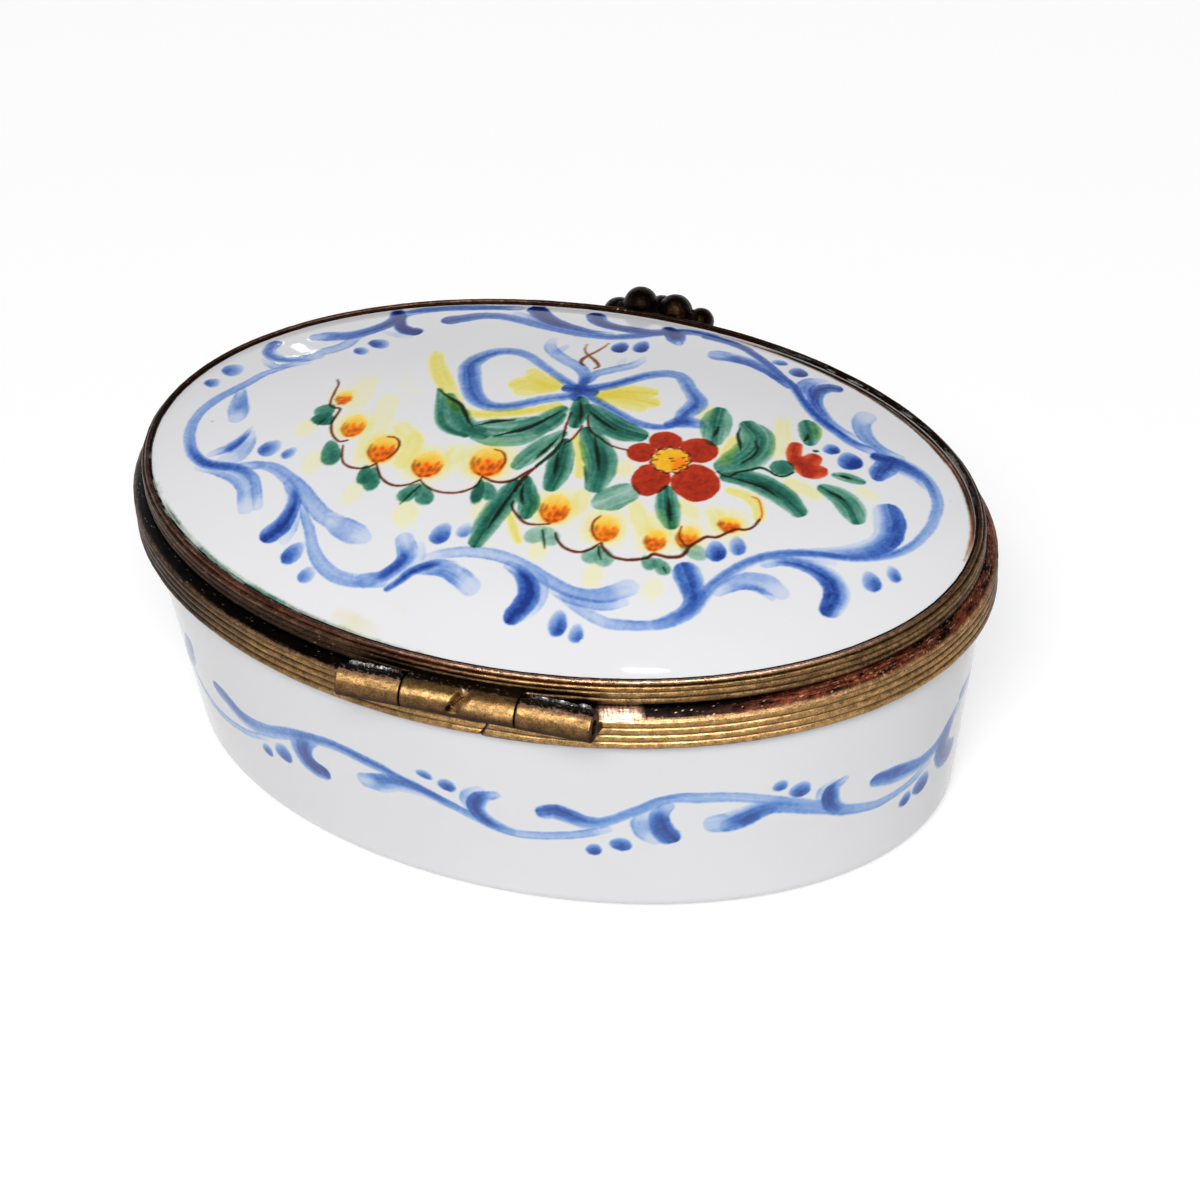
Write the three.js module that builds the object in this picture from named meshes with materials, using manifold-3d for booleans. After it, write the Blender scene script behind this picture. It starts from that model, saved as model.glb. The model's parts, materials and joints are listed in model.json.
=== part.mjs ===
// An oval hinged porcelain box for small keepsakes: a cup and a domed lid of white glazed
// porcelain, each edged with a ridged brass mount, joined by a soldered tube hinge on one
// long side and closed by a snap clasp with a cluster of berries on the other.
// Millimetres, +Z up. X runs along the oval, -Y is the hinge side, and the origin is the
// middle of the flat underside.

import * as THREE from "three";
import { mergeVertices } from "three/addons/utils/BufferGeometryUtils.js";
import Module from "manifold-3d";

// Driving sizes of the oval, over the base mount's outer face
const OVAL_LENGTH = 66;
const OVAL_WIDTH = 44.3;
const OVAL_STEPS = 64;

// Clearances
const FIT_GAP = 0.1; // round a fitted piece
const SEAM_GAP = 0.05; // between the two mounts when the lid is shut
const RUNNING_GAP = 0.05; // round the hinge pin
const KNUCKLE_GAP = 0.12; // between neighbouring knuckles
const OVERRUN = 1; // how far a cutting solid passes what it cuts
const MERGE_REACH = 1e-4; // vertices closer than this are one

// Porcelain cup
const FOOT_INSET = 2.85; // how far the foot stands in from the base mount
const FOOT_RADIUS = 1.5;
const CUP_INSET = 0.85; // the wall just under the mount
const CUP_WALL = 2.3;
const CUP_FLOOR = 2.6;
const CUP_INNER_RADIUS = 1.8;
const CUP_HEIGHT = 22.15;
const FOOT_ARC_STEPS = 3;
const CEMENT = 0.2; // bed of cement between porcelain and mount, on cup and lid alike

// Base mount: a folded brass strip that wraps the mouth of the cup
const LEDGE_SHEET = 0.6; // its top, the broad ledge that the lid's mount rests on
const BASE_MOUNT_HEIGHT = 3.45;
const SHOULDER_DROP = 0.75; // where its outer wall turns in, below the ledge
const LEDGE_WIDTH = 0.9;
const MOUNT_SHEET = 0.5; // thickness of the folded brass
const BASE_RIDGES = 4;
const LID_RIDGES = 3;
const RIDGE_DEPTH = 0.14;
const RIDGE_CROWN_SHARE = 2 / 3; // flat crown of a ridge, as a share of the pitch
const RIDGE_GROOVE_SHARE = 5 / 6; // where the groove above it is deepest
const CUP_FLANGE_REACH = 2.1; // how far the mount's inner flange reaches down inside the cup
const CUP_FLANGE_SHEET = 0.4;
const COLLAR_RISE = 0.45; // the flange also stands up and centres the lid
const COLLAR_CLEARANCE = 0.25;

// Lid mount and porcelain lid
const LID_MOUNT_HEIGHT = 2;
const LID_LIP_WIDTH = 0.8; // rolled lip over the edge of the porcelain
const LID_LIP_DROP = 0.1; // its inner edge below its crest
const LID_LIP_SHEET = 0.15;
const LID_LIP_ROUND = 0.5; // height of the slope from the ridges up to the crest
const LID_FLOOR_SHEET = 0.4;
const DOME_HEIGHT = 3.1;
const DOME_POWER = 2.4; // flatter in the middle than a parabola, steeper at the edge
const LID_RIM_WIDTH = 2.35; // flat rim of the lid's underside
const LID_HOLLOW_DEPTH = 1.9;
const DOME_SHARES = [0, 0.25, 0.5, 0.7, 0.86];

// Hinge, set slightly off the middle of the long side
const HINGE_SHIFT = 0.4;
const BARREL_RADIUS = 1.15;
const BARREL_STANDOFF = 0.65; // pin axis beyond the base mount's outer face
const BARREL_RISE = 0.4; // pin axis above the seam
const PIN_RADIUS = 0.5;
const PIN_RECESS = 0.3; // each end of the pin inside its knuckle
const LEFT_KNUCKLE = 4.8;
const LID_KNUCKLE = 8.55;
const RIGHT_KNUCKLE = 5.5;
const BARREL_STEPS = 20;
const LEAF_TOP = 0.3; // where the lid's leaf meets the lid mount, above the pin axis
const LEAF_BOTTOM = 0.3; // and its underside, below that axis
const LEG_BOTTOM = 1.75; // foot of a base knuckle's leg below the pin axis
const SOLDER_REACH = 0.35; // fillet of solder outside the barrel's skin
const SOLDER_TOP = 0.75; // above the pin axis
const SOLDER_START = 0.4; // from the pin axis towards the box
const SOLDER_LENGTH_SHARE = 0.82; // of its knuckle

// Clasp, also slightly off the middle. Rises and drops are from the seam between the mounts.
const CLASP_SHIFT = 1.0;
const CATCH_WIDTH = 3.6;
const CATCH_RADIUS = 0.4;
const CATCH_DROP = 1.65;
const SNAP_GAP = 0.05; // the tongue's bump passes the catch
const BUMP_RADIUS = 0.15;
const TONGUE_WIDTH = 3.2;
const TONGUE_SHEET = 0.3;
const TONGUE_TOP_DROP = 1.05;
const TONGUE_BOTTOM_DROP = 2.65;
const PLATE_WIDTH = 6.4;
const PLATE_SHEET = 0.55;
const PLATE_TOP_RISE = 1.55;
const PLATE_BOTTOM_DROP = 2.35;
const ARM_RISE = 0.15; // above this the plate reaches in to the lid mount
const ROUND_STEPS = 12;
const BERRY_STEPS = 12;
const BERRY_RADIUS = 1.3;
// The clasp's berries, in shares of that radius: sideways from the clasp's middle, outward from
// the base mount's face, up from the seam, and the berry's own radius
const BERRY_SHARES = [
  { side: -2.62, out: 0.35, rise: -0.04, radius: 1.02 },
  { side: -1.19, out: 0.27, rise: 1.04, radius: 1.05 },
  { side: 0.96, out: 0.27, rise: 0.88, radius: 1.05 },
  { side: 2.54, out: 0.27, rise: 0.46, radius: 0.81 },
  { side: -0.08, out: 0.88, rise: 0.31, radius: 0.92 },
  { side: -1.46, out: 1.15, rise: -0.73, radius: 0.92 },
  { side: 1.42, out: 1.15, rise: -0.65, radius: 0.92 },
  { side: 0.04, out: 1.31, rise: -1.35, radius: 0.85 },
];

// Places worked out from the sizes above
const halfLength = OVAL_LENGTH / 2;
const halfWidth = OVAL_WIDTH / 2;
const hingeY = -(halfWidth + BARREL_STANDOFF);
const seam = CUP_HEIGHT + CEMENT + LEDGE_SHEET;
const baseMountBottom = seam - BASE_MOUNT_HEIGHT;
const shoulder = seam - SHOULDER_DROP;
const hingeZ = seam + BARREL_RISE;
const lidBottom = seam + SEAM_GAP;
const lidTop = lidBottom + LID_MOUNT_HEIGHT;
const lidEdge = lidTop - LID_LIP_DROP - LID_LIP_SHEET - FIT_GAP;
const knucklesLength = LEFT_KNUCKLE + LID_KNUCKLE + RIGHT_KNUCKLE;
const leftEnd = HINGE_SHIFT - LID_KNUCKLE / 2 - LEFT_KNUCKLE;
const lidKnuckleStart = leftEnd + LEFT_KNUCKLE;
const rightKnuckleStart = lidKnuckleStart + LID_KNUCKLE;

const porcelain = new THREE.MeshStandardMaterial({ color: 0xe9e8ea, roughness: 0.12, metalness: 0 });
const brass = new THREE.MeshStandardMaterial({ color: 0x8a6a38, roughness: 0.38, metalness: 1 });
const darkBrass = new THREE.MeshStandardMaterial({ color: 0x3a2c1e, roughness: 0.45, metalness: 1 });
const solderMetal = new THREE.MeshStandardMaterial({ color: 0x9b9a96, roughness: 0.4, metalness: 1 });
const cement = new THREE.MeshStandardMaterial({ color: 0xd8d2bd, roughness: 0.9, metalness: 0 });

const wasm = await Module();
wasm.setup();

// A closed three.js geometry as a manifold-3d solid.
function solidOf(geometry) {
  const bare = geometry.clone();
  bare.deleteAttribute("normal");
  bare.deleteAttribute("uv");
  const merged = mergeVertices(bare, MERGE_REACH);
  return new wasm.Manifold(
    new wasm.Mesh({
      numProp: 3,
      vertProperties: merged.attributes.position.array,
      triVerts: new Uint32Array(merged.index.array),
    }),
  );
}

// A manifold-3d solid as a three.js geometry.
function geometryOf(solid) {
  const made = solid.getMesh();
  const geometry = new THREE.BufferGeometry();
  geometry.setAttribute("position", new THREE.BufferAttribute(made.vertProperties, 3));
  geometry.setIndex(new THREE.BufferAttribute(made.triVerts, 1));
  geometry.computeVertexNormals();
  return geometry;
}

// A point of a section that runs round the box: inset from the oval, and height.
function at(inset, height) {
  return { length: halfLength - inset, width: halfWidth - inset, height };
}

// A point of a section at a share of the way out to an oval with that inset.
function within(share, inset, height) {
  return { length: share * (halfLength - inset), width: share * (halfWidth - inset), height };
}

// A section carried round the oval. A section that starts and ends on the axis makes a solid
// body, and a closed one makes a ring. It runs counterclockwise, seen with the axis at the left.
function ovalSweep(section) {
  const outline = section.map((point) => new THREE.Vector2(point.width, point.height));
  const sweep = new THREE.LatheGeometry(outline, OVAL_STEPS);
  const position = sweep.attributes.position;
  for (let i = 0; i < position.count; i++) {
    const point = section[i % section.length];
    const stretch = point.width > 0 ? point.length / point.width : 1;
    position.setX(i, position.getX(i) * stretch);
  }
  return sweep.rotateX(Math.PI / 2);
}

function ovalRing(section) {
  return ovalSweep([...section, section[0]]);
}

// The ridged face of a mount, from its bottom edge to its top.
function ridges(inset, bottom, top, count) {
  const points = [];
  const pitch = (top - bottom) / count;
  for (let i = 0; i < count; i++) {
    points.push(at(inset, bottom + i * pitch));
    points.push(at(inset, bottom + (i + RIDGE_CROWN_SHARE) * pitch));
    if (i < count - 1) points.push(at(inset + RIDGE_DEPTH, bottom + (i + RIDGE_GROOVE_SHARE) * pitch));
  }
  return points;
}

function basePorcelain() {
  const section = [within(0, FOOT_INSET, 0)];
  for (let i = 0; i <= FOOT_ARC_STEPS; i++) {
    const turn = (i / FOOT_ARC_STEPS) * (Math.PI / 2);
    const inset = FOOT_INSET + FOOT_RADIUS * (1 - Math.sin(turn));
    section.push(at(inset, FOOT_RADIUS * (1 - Math.cos(turn))));
  }
  section.push(at(CUP_INSET, baseMountBottom - FIT_GAP));
  section.push(at(CUP_INSET, CUP_HEIGHT));
  section.push(at(CUP_INSET + CUP_WALL, CUP_HEIGHT));
  section.push(at(CUP_INSET + CUP_WALL, baseMountBottom));
  section.push(at(FOOT_INSET + CUP_WALL, CUP_FLOOR + CUP_INNER_RADIUS));
  section.push(at(FOOT_INSET + CUP_WALL + CUP_INNER_RADIUS / 3, CUP_FLOOR + CUP_INNER_RADIUS / 3));
  section.push(at(FOOT_INSET + CUP_WALL + CUP_INNER_RADIUS, CUP_FLOOR));
  section.push(within(0, FOOT_INSET, CUP_FLOOR));
  return ovalSweep(section);
}

const flangeOuter = CUP_INSET + CUP_WALL + FIT_GAP;
const flangeInner = flangeOuter + CUP_FLANGE_SHEET;
const collarTop = seam + COLLAR_RISE;

function baseBezel() {
  const wallInner = CUP_INSET - FIT_GAP;
  const topUnder = CUP_HEIGHT + CEMENT;
  return ovalRing([
    ...ridges(0, baseMountBottom, shoulder, BASE_RIDGES),
    at(LEDGE_WIDTH / 3, (shoulder + seam) / 2),
    at(LEDGE_WIDTH, seam),
    at(flangeOuter, seam),
    at(flangeOuter, collarTop),
    at(flangeInner, collarTop),
    at(flangeInner, seam - CUP_FLANGE_REACH),
    at(flangeOuter, seam - CUP_FLANGE_REACH),
    at(flangeOuter, topUnder),
    at(wallInner, topUnder),
    at(wallInner, baseMountBottom),
  ]);
}

function baseCement() {
  return ovalRing([
    at(CUP_INSET, CUP_HEIGHT),
    at(CUP_INSET, CUP_HEIGHT + CEMENT),
    at(CUP_INSET + CUP_WALL, CUP_HEIGHT + CEMENT),
    at(CUP_INSET + CUP_WALL, CUP_HEIGHT),
  ]);
}

const lidPorcelainInset = LEDGE_WIDTH + MOUNT_SHEET + FIT_GAP;
const lidCementBottom = lidBottom + LID_FLOOR_SHEET;
const lidPorcelainBottom = lidCementBottom + CEMENT;
const lidRimInner = lidPorcelainInset + LID_RIM_WIDTH;

function lidBezel() {
  const inner = LEDGE_WIDTH + MOUNT_SHEET;
  const lipEnd = LEDGE_WIDTH + LID_LIP_WIDTH;
  const floorInner = flangeOuter - COLLAR_CLEARANCE;
  return ovalRing([
    ...ridges(LEDGE_WIDTH, lidBottom, lidTop - LID_LIP_ROUND, LID_RIDGES),
    at(LEDGE_WIDTH + LID_LIP_WIDTH / 2, lidTop),
    at(lipEnd, lidTop - LID_LIP_DROP),
    at(lipEnd, lidEdge + FIT_GAP),
    at(inner, lidEdge + FIT_GAP),
    at(inner, lidCementBottom),
    at(floorInner, lidCementBottom),
    at(floorInner, lidBottom),
  ]);
}

function lidCement() {
  const inner = flangeOuter - COLLAR_CLEARANCE;
  return ovalRing([
    at(lidPorcelainInset, lidCementBottom),
    at(lidPorcelainInset, lidPorcelainBottom),
    at(inner, lidPorcelainBottom),
    at(inner, lidCementBottom),
  ]);
}

// Height of the dome over the lid's edge, at a share of the way out.
function domeRise(share) {
  return DOME_HEIGHT * (1 - share ** DOME_POWER);
}

function lidPorcelain() {
  const domeInset = LEDGE_WIDTH + LID_LIP_WIDTH + FIT_GAP;
  const hollowRise = LID_HOLLOW_DEPTH / DOME_HEIGHT;
  const hollow = DOME_SHARES.map((share) =>
    within(share, lidRimInner, lidPorcelainBottom + hollowRise * domeRise(share)),
  );
  const dome = DOME_SHARES.map((share) => within(share, domeInset, lidEdge + domeRise(share)));
  return ovalSweep([
    ...hollow,
    at(lidRimInner, lidPorcelainBottom),
    at(lidPorcelainInset, lidPorcelainBottom),
    at(lidPorcelainInset, lidEdge),
    at(domeInset, lidEdge),
    ...dome.reverse(),
  ]);
}

// The space that both mounts fill, with a clearance round it, for cutting what seats on them.
function mountsWithin(clearance) {
  return solidOf(
    ovalSweep([
      within(0, 0, baseMountBottom - OVERRUN),
      at(-clearance, baseMountBottom - OVERRUN),
      at(-clearance, shoulder + clearance),
      at(LEDGE_WIDTH / 3 - clearance, (shoulder + seam) / 2 + clearance),
      at(LEDGE_WIDTH - clearance, seam + clearance),
      at(LEDGE_WIDTH - clearance, lidTop + OVERRUN),
      within(0, 0, lidTop + OVERRUN),
    ]),
  );
}

// A bar along X from start, its section drawn as [Y, Z] points.
function barAlongX(points, start, length) {
  const shape = new THREE.Shape(points.map(([y, z]) => new THREE.Vector2(y, z)));
  const bar = new THREE.ExtrudeGeometry(shape, { depth: length, bevelEnabled: false });
  const axes = new THREE.Matrix4().makeBasis(
    new THREE.Vector3(0, 1, 0),
    new THREE.Vector3(0, 0, 1),
    new THREE.Vector3(1, 0, 0),
  );
  return bar.applyMatrix4(axes).translate(start, 0, 0);
}

// A rod on the hinge axis.
function rod(radius, start, length) {
  const rodShape = new THREE.CylinderGeometry(radius, radius, length, BARREL_STEPS);
  return rodShape.rotateZ(-Math.PI / 2).translate(start + length / 2, hingeY, hingeZ);
}

function pinBore(start, length) {
  return solidOf(rod(PIN_RADIUS + RUNNING_GAP, start - OVERRUN, length + 2 * OVERRUN));
}

const mountsKeepOut = mountsWithin(FIT_GAP);
const insideY = -(halfWidth - LEDGE_WIDTH - MOUNT_SHEET);

// An outer knuckle, with a short leg that reaches in to the base mount's wall.
function baseKnuckle(start, length) {
  const leg = barAlongX(
    [
      [hingeY, hingeZ - BARREL_RADIUS],
      [insideY, hingeZ - LEG_BOTTOM],
      [insideY, hingeZ - BARREL_RADIUS / 2],
      [hingeY, hingeZ - BARREL_RADIUS / 2],
    ],
    start,
    length,
  );
  return solidOf(rod(BARREL_RADIUS, start, length))
    .add(solidOf(leg))
    .subtract(mountsKeepOut)
    .subtract(pinBore(start, length));
}

// The middle knuckle, with a leaf that reaches in to the lid mount's wall.
function lidKnuckle(start, length) {
  const leaf = barAlongX(
    [
      [hingeY + PIN_RADIUS, hingeZ - LEAF_BOTTOM],
      [insideY, hingeZ - LEAF_BOTTOM],
      [insideY, hingeZ + LEAF_TOP],
      [hingeY + PIN_RADIUS, hingeZ + BARREL_RADIUS / 2],
    ],
    start,
    length,
  );
  return solidOf(rod(BARREL_RADIUS, start, length))
    .add(solidOf(leaf))
    .subtract(mountsKeepOut)
    .subtract(pinBore(start, length));
}

// The fillet of solder in the crevice between an outer knuckle and the base mount.
function solderFillet(start, length) {
  const filletLength = length * SOLDER_LENGTH_SHARE;
  const filletStart = start + (length - filletLength) / 2;
  const bottom = hingeZ - BARREL_RADIUS / 2 + FIT_GAP;
  const region = barAlongX(
    [
      [hingeY + SOLDER_START, bottom],
      [insideY, bottom],
      [insideY, hingeZ + SOLDER_TOP],
      [hingeY + SOLDER_START, hingeZ + SOLDER_TOP],
    ],
    filletStart,
    filletLength,
  );
  return solidOf(rod(BARREL_RADIUS + SOLDER_REACH, filletStart, filletLength))
    .intersect(solidOf(region))
    .subtract(solidOf(rod(BARREL_RADIUS + FIT_GAP, start, length)))
    .subtract(mountsKeepOut);
}

// Heights and outward places of the clasp's layers
const catchHeight = seam - CATCH_DROP;
const armBottom = seam + ARM_RISE;
const tongueInner = CATCH_RADIUS + SNAP_GAP + BUMP_RADIUS;
const plateInner = tongueInner + TONGUE_SHEET + FIT_GAP;
const plateOuter = plateInner + PLATE_SHEET;

// A bar across the clasp, its section drawn as [outward, Z] points.
function claspBar(points, width) {
  const section = points.map(([out, z]) => [halfWidth + out, z]);
  return solidOf(barAlongX(section, CLASP_SHIFT - width / 2, width));
}

// A round bar across the clasp.
function claspRound(out, height, radius, width) {
  const round = new THREE.CylinderGeometry(radius, radius, width, ROUND_STEPS);
  return solidOf(round.rotateZ(-Math.PI / 2).translate(CLASP_SHIFT, halfWidth + out, height));
}

// The lug on the base mount that the tongue snaps past.
function claspCatch() {
  return claspRound(0, catchHeight, CATCH_RADIUS, CATCH_WIDTH).subtract(mountsKeepOut);
}

// The springy tongue behind the thumbpiece, with its bump just below the catch.
function claspTongue() {
  const top = seam - TONGUE_TOP_DROP;
  const bottom = seam - TONGUE_BOTTOM_DROP;
  const strip = claspBar(
    [
      [tongueInner, bottom],
      [tongueInner + TONGUE_SHEET, bottom],
      [tongueInner + TONGUE_SHEET, top],
      [tongueInner, top],
    ],
    TONGUE_WIDTH,
  );
  const bumpHeight = catchHeight - CATCH_RADIUS - SNAP_GAP - BUMP_RADIUS;
  return strip.add(claspRound(tongueInner, bumpHeight, BUMP_RADIUS, TONGUE_WIDTH));
}

// The thumbpiece: a plate that reaches down in front of the base mount, covered in berries and
// hollowed behind for the tongue and the catch.
function claspThumbpiece() {
  const top = seam + PLATE_TOP_RISE;
  const bottom = seam - PLATE_BOTTOM_DROP;
  const plate = claspBar(
    [
      [-LEDGE_WIDTH, armBottom],
      [0, armBottom],
      [plateInner, armBottom - plateInner],
      [plateInner, bottom],
      [plateOuter, bottom],
      [plateOuter, armBottom],
      [0, top],
      [-LEDGE_WIDTH, top],
    ],
    PLATE_WIDTH,
  );
  const hollow = claspBar(
    [
      [-LEDGE_WIDTH - OVERRUN, bottom - OVERRUN],
      [plateInner, bottom - OVERRUN],
      [plateInner, armBottom - plateInner],
      [0, armBottom],
      [-LEDGE_WIDTH - OVERRUN, armBottom],
    ],
    OVAL_WIDTH,
  );
  let cluster = plate;
  for (const share of BERRY_SHARES) {
    const berry = new THREE.SphereGeometry(share.radius * BERRY_RADIUS, BERRY_STEPS, BERRY_STEPS / 2);
    berry.translate(
      CLASP_SHIFT + share.side * BERRY_RADIUS,
      halfWidth + share.out * BERRY_RADIUS,
      seam + share.rise * BERRY_RADIUS,
    );
    cluster = cluster.add(solidOf(berry));
  }
  return cluster.subtract(hollow).subtract(mountsKeepOut);
}

const group = new THREE.Group();

function place(name, geometry, material) {
  const mesh = new THREE.Mesh(geometry, material);
  mesh.name = name;
  group.add(mesh);
}

place("base_porcelain", basePorcelain(), porcelain);
place("base_cement", baseCement(), cement);
place("base_bezel", baseBezel(), brass);
place("clasp_catch", geometryOf(claspCatch()), brass);

const leftInner = LEFT_KNUCKLE - KNUCKLE_GAP / 2;
const rightInner = RIGHT_KNUCKLE - KNUCKLE_GAP / 2;
const rightStart = rightKnuckleStart + KNUCKLE_GAP / 2;
const lidStart = lidKnuckleStart + KNUCKLE_GAP / 2;
place("hinge_knuckle_left", geometryOf(baseKnuckle(leftEnd, leftInner)), brass);
place("hinge_knuckle_right", geometryOf(baseKnuckle(rightStart, rightInner)), brass);
place("hinge_solder_left", geometryOf(solderFillet(leftEnd, leftInner)), solderMetal);
place("hinge_solder_right", geometryOf(solderFillet(rightStart, rightInner)), solderMetal);
place("hinge_pin", rod(PIN_RADIUS, leftEnd + PIN_RECESS, knucklesLength - 2 * PIN_RECESS), darkBrass);

place("lid_porcelain", lidPorcelain(), porcelain);
place("lid_cement", lidCement(), cement);
place("lid_bezel", lidBezel(), darkBrass);
place("hinge_knuckle_lid", geometryOf(lidKnuckle(lidStart, LID_KNUCKLE - KNUCKLE_GAP)), brass);
place("clasp_thumbpiece", geometryOf(claspThumbpiece()), darkBrass);
place("clasp_tongue", geometryOf(claspTongue()), brass);

export default group;
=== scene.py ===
"""Looks for the oval porcelain box: glaze, painting, aged brass mounts, hinge and clasp.
Lengths are millimetres until they reach a mesh."""
import json
import math

import bmesh
import bpy
import numpy as np
from mathutils import Matrix, Vector


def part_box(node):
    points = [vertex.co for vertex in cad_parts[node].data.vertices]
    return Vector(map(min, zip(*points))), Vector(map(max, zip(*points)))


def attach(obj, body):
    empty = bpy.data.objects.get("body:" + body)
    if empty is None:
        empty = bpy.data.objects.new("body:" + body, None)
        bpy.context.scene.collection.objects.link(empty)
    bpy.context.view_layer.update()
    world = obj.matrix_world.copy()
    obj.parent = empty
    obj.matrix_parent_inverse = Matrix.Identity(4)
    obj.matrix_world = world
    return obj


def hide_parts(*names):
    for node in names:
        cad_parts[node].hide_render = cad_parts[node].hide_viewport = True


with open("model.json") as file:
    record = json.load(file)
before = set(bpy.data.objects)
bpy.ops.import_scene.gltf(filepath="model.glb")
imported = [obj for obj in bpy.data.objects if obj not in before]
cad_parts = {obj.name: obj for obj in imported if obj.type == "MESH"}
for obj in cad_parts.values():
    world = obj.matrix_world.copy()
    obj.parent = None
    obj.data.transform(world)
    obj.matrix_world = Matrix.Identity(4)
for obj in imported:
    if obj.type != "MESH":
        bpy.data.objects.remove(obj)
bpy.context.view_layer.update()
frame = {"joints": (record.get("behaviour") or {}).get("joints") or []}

MM = 0.001
LINK = bpy.context.scene.collection.objects.link


def span(node):
    """A CAD node's lowest and highest corners."""
    low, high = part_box(node)
    return np.array(low) / MM, np.array(high) / MM


# Driving sizes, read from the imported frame
BASE_LOW, BASE_HIGH = span("base_bezel")
LID_LOW, LID_HIGH = span("lid_bezel")
CUP_HIGH = span("base_porcelain")[1]
DOME_LOW, DOME_HIGH = span("lid_porcelain")
HALF_LENGTH, HALF_WIDTH = BASE_HIGH[0], BASE_HIGH[1]
LEDGE = HALF_LENGTH - LID_HIGH[0]  # the lid mount stands in from the base mount by this
_, HINGE_Y, HINGE_Z = np.array(frame["joints"][0]["pos_m"]) / MM
MOUNT_BOTTOM = BASE_LOW[2]
LID_BOTTOM, LID_TOP = LID_LOW[2], LID_HIGH[2]
SEAM = LID_BOTTOM - 0.05  # top of the base mount, under the gap below the lid
SHOULDER = SEAM - 0.75  # where the base mount's face turns in
COLLAR_TOP = BASE_HIGH[2]
CUP_TOP = CUP_HIGH[2]
CUP_INSET = HALF_LENGTH - CUP_HIGH[0]
FOOT_INSET = 2.85
FOOT_ROUND = 1.5
CUP_WALL = 2.3
CUP_FLOOR = 2.6
BAND_LOW, BAND_HIGH = 4.6, 14.6  # the painted band of the cup's wall
BAND_INSET = 1.9  # how far in the wall lies there, for lengths round it
FLANGE_OUTER = CUP_INSET + CUP_WALL + 0.1
FLANGE_INNER = FLANGE_OUTER + 0.4
LIP_END = LEDGE + 0.8  # inner edge of the lid mount's rolled lip
LID_EDGE = LID_TOP - 0.35  # height of the dome's rim
DOME_HEIGHT = DOME_HIGH[2] - LID_EDGE
DOME_POWER = 2.4
DOME_LENGTH = HALF_LENGTH - LIP_END - 0.1
DOME_WIDTH = HALF_WIDTH - LIP_END - 0.1
HOLLOW_DEPTH = 1.9
RIM_INNER = HALF_LENGTH - DOME_HIGH[0] + 2.35
# How finely pieces are cut, with the porcelain's points about 0.1 mm apart for the painting
LID_COLUMNS, LID_ROWS = 640, 420
CUP_COLUMNS, BAND_ROWS = 1400, 90
MOUNT_COLUMNS = 1400


# Noise and small helpers
NOISE_CELLS = 64  # the noise comes round again after these


def smooth(x, low=0.0, high=1.0):
    t = np.clip((x - low) / (high - low), 0, 1)
    return t * t * (3 - 2 * t)


def bell(x, middle, reach):
    return np.exp(-(((x - middle) / reach) ** 2))


def plateau(x, start, end, fade):
    return smooth(x, start - fade, start + fade) * (1 - smooth(x, end - fade, end + fade))


def noise2(x, y, seed):
    """Smooth value noise of a plane, with cells of side 1, from -1 to 1."""
    size = NOISE_CELLS
    table = np.random.default_rng(seed).uniform(-1, 1, (size, size))
    i, j = np.floor(x).astype(int), np.floor(y).astype(int)
    u, v = smooth(x - i), smooth(y - j)
    i0, j0, i1, j1 = i % size, j % size, (i + 1) % size, (j + 1) % size
    low = table[i0, j0] * (1 - u) + table[i1, j0] * u
    high = table[i0, j1] * (1 - u) + table[i1, j1] * u
    return low * (1 - v) + high * v


def octaves(x, y, seed, count=3):
    total = sum(noise2(x * 2**k, y * 2**k, seed + k) / 2**k for k in range(count))
    return total / 1.6


# Meshes
def read_vectors(mesh, what):
    values = np.empty(len(mesh.vertices) * 3, np.float32)
    mesh.vertices.foreach_get(what, values)
    return values.reshape(-1, 3).astype(float)


def place_points(mesh, points):
    mesh.vertices.foreach_set("co", (points * MM).astype(np.float32).ravel())


def declare(piece, body, nodes):
    """Says what a piece rides on, and hides the frame's parts that it stands for."""
    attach(piece, body)
    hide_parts(*nodes)
    return piece


def mesh_piece(name, body, nodes, points, woven, smooth_angle=50):
    """A mesh object. Each woven part has faces and the place on the bake's map of each face
    corner."""
    mesh = bpy.data.meshes.new(name)
    mesh.vertices.add(len(points))
    place_points(mesh, points)
    loops = np.concatenate([faces.ravel() for faces, _ in woven]).astype(np.int32)
    sides = np.concatenate([np.full(len(faces), faces.shape[1]) for faces, _ in woven])
    mesh.loops.add(len(loops))
    mesh.loops.foreach_set("vertex_index", loops)
    mesh.polygons.add(len(sides))
    starts = np.concatenate([[0], np.cumsum(sides)[:-1]])
    mesh.polygons.foreach_set("loop_start", starts.astype(np.int32))
    mesh.polygons.foreach_set("use_smooth", np.ones(len(sides), bool))
    layer = mesh.uv_layers.new(name="OFBake", do_init=False)
    places = np.concatenate([place.reshape(-1, 2) for _, place in woven])
    layer.uv.foreach_set("vector", places.astype(np.float32).ravel())
    mesh.update(calc_edges=True)
    mesh.set_sharp_from_angle(angle=math.radians(smooth_angle))
    piece = bpy.data.objects.new(name, mesh)
    LINK(piece)
    return declare(piece, body, nodes)


def weave(index, wrap_rows=False, wrap_columns=False, window=(0, 0, 1, 1)):
    """Quads over rows and columns of points, with their places in a window of the map."""
    rows, columns = index.shape
    down, across = rows - (not wrap_rows), columns - (not wrap_columns)
    i, j = np.meshgrid(np.arange(down), np.arange(across), indexing="ij")
    steps = [(0, 0), (0, 1), (1, 1), (1, 0)]
    faces = np.stack([index[(i + a) % rows, (j + b) % columns] for a, b in steps], -1)
    u0, v0, u1, v1 = window
    places = np.stack([
        np.stack([u0 + (u1 - u0) * (j + b) / across, v0 + (v1 - v0) * (i + a) / down], -1)
        for a, b in steps
    ], 2)
    return faces.reshape(-1, 4), places.reshape(-1, 4, 2)


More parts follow.
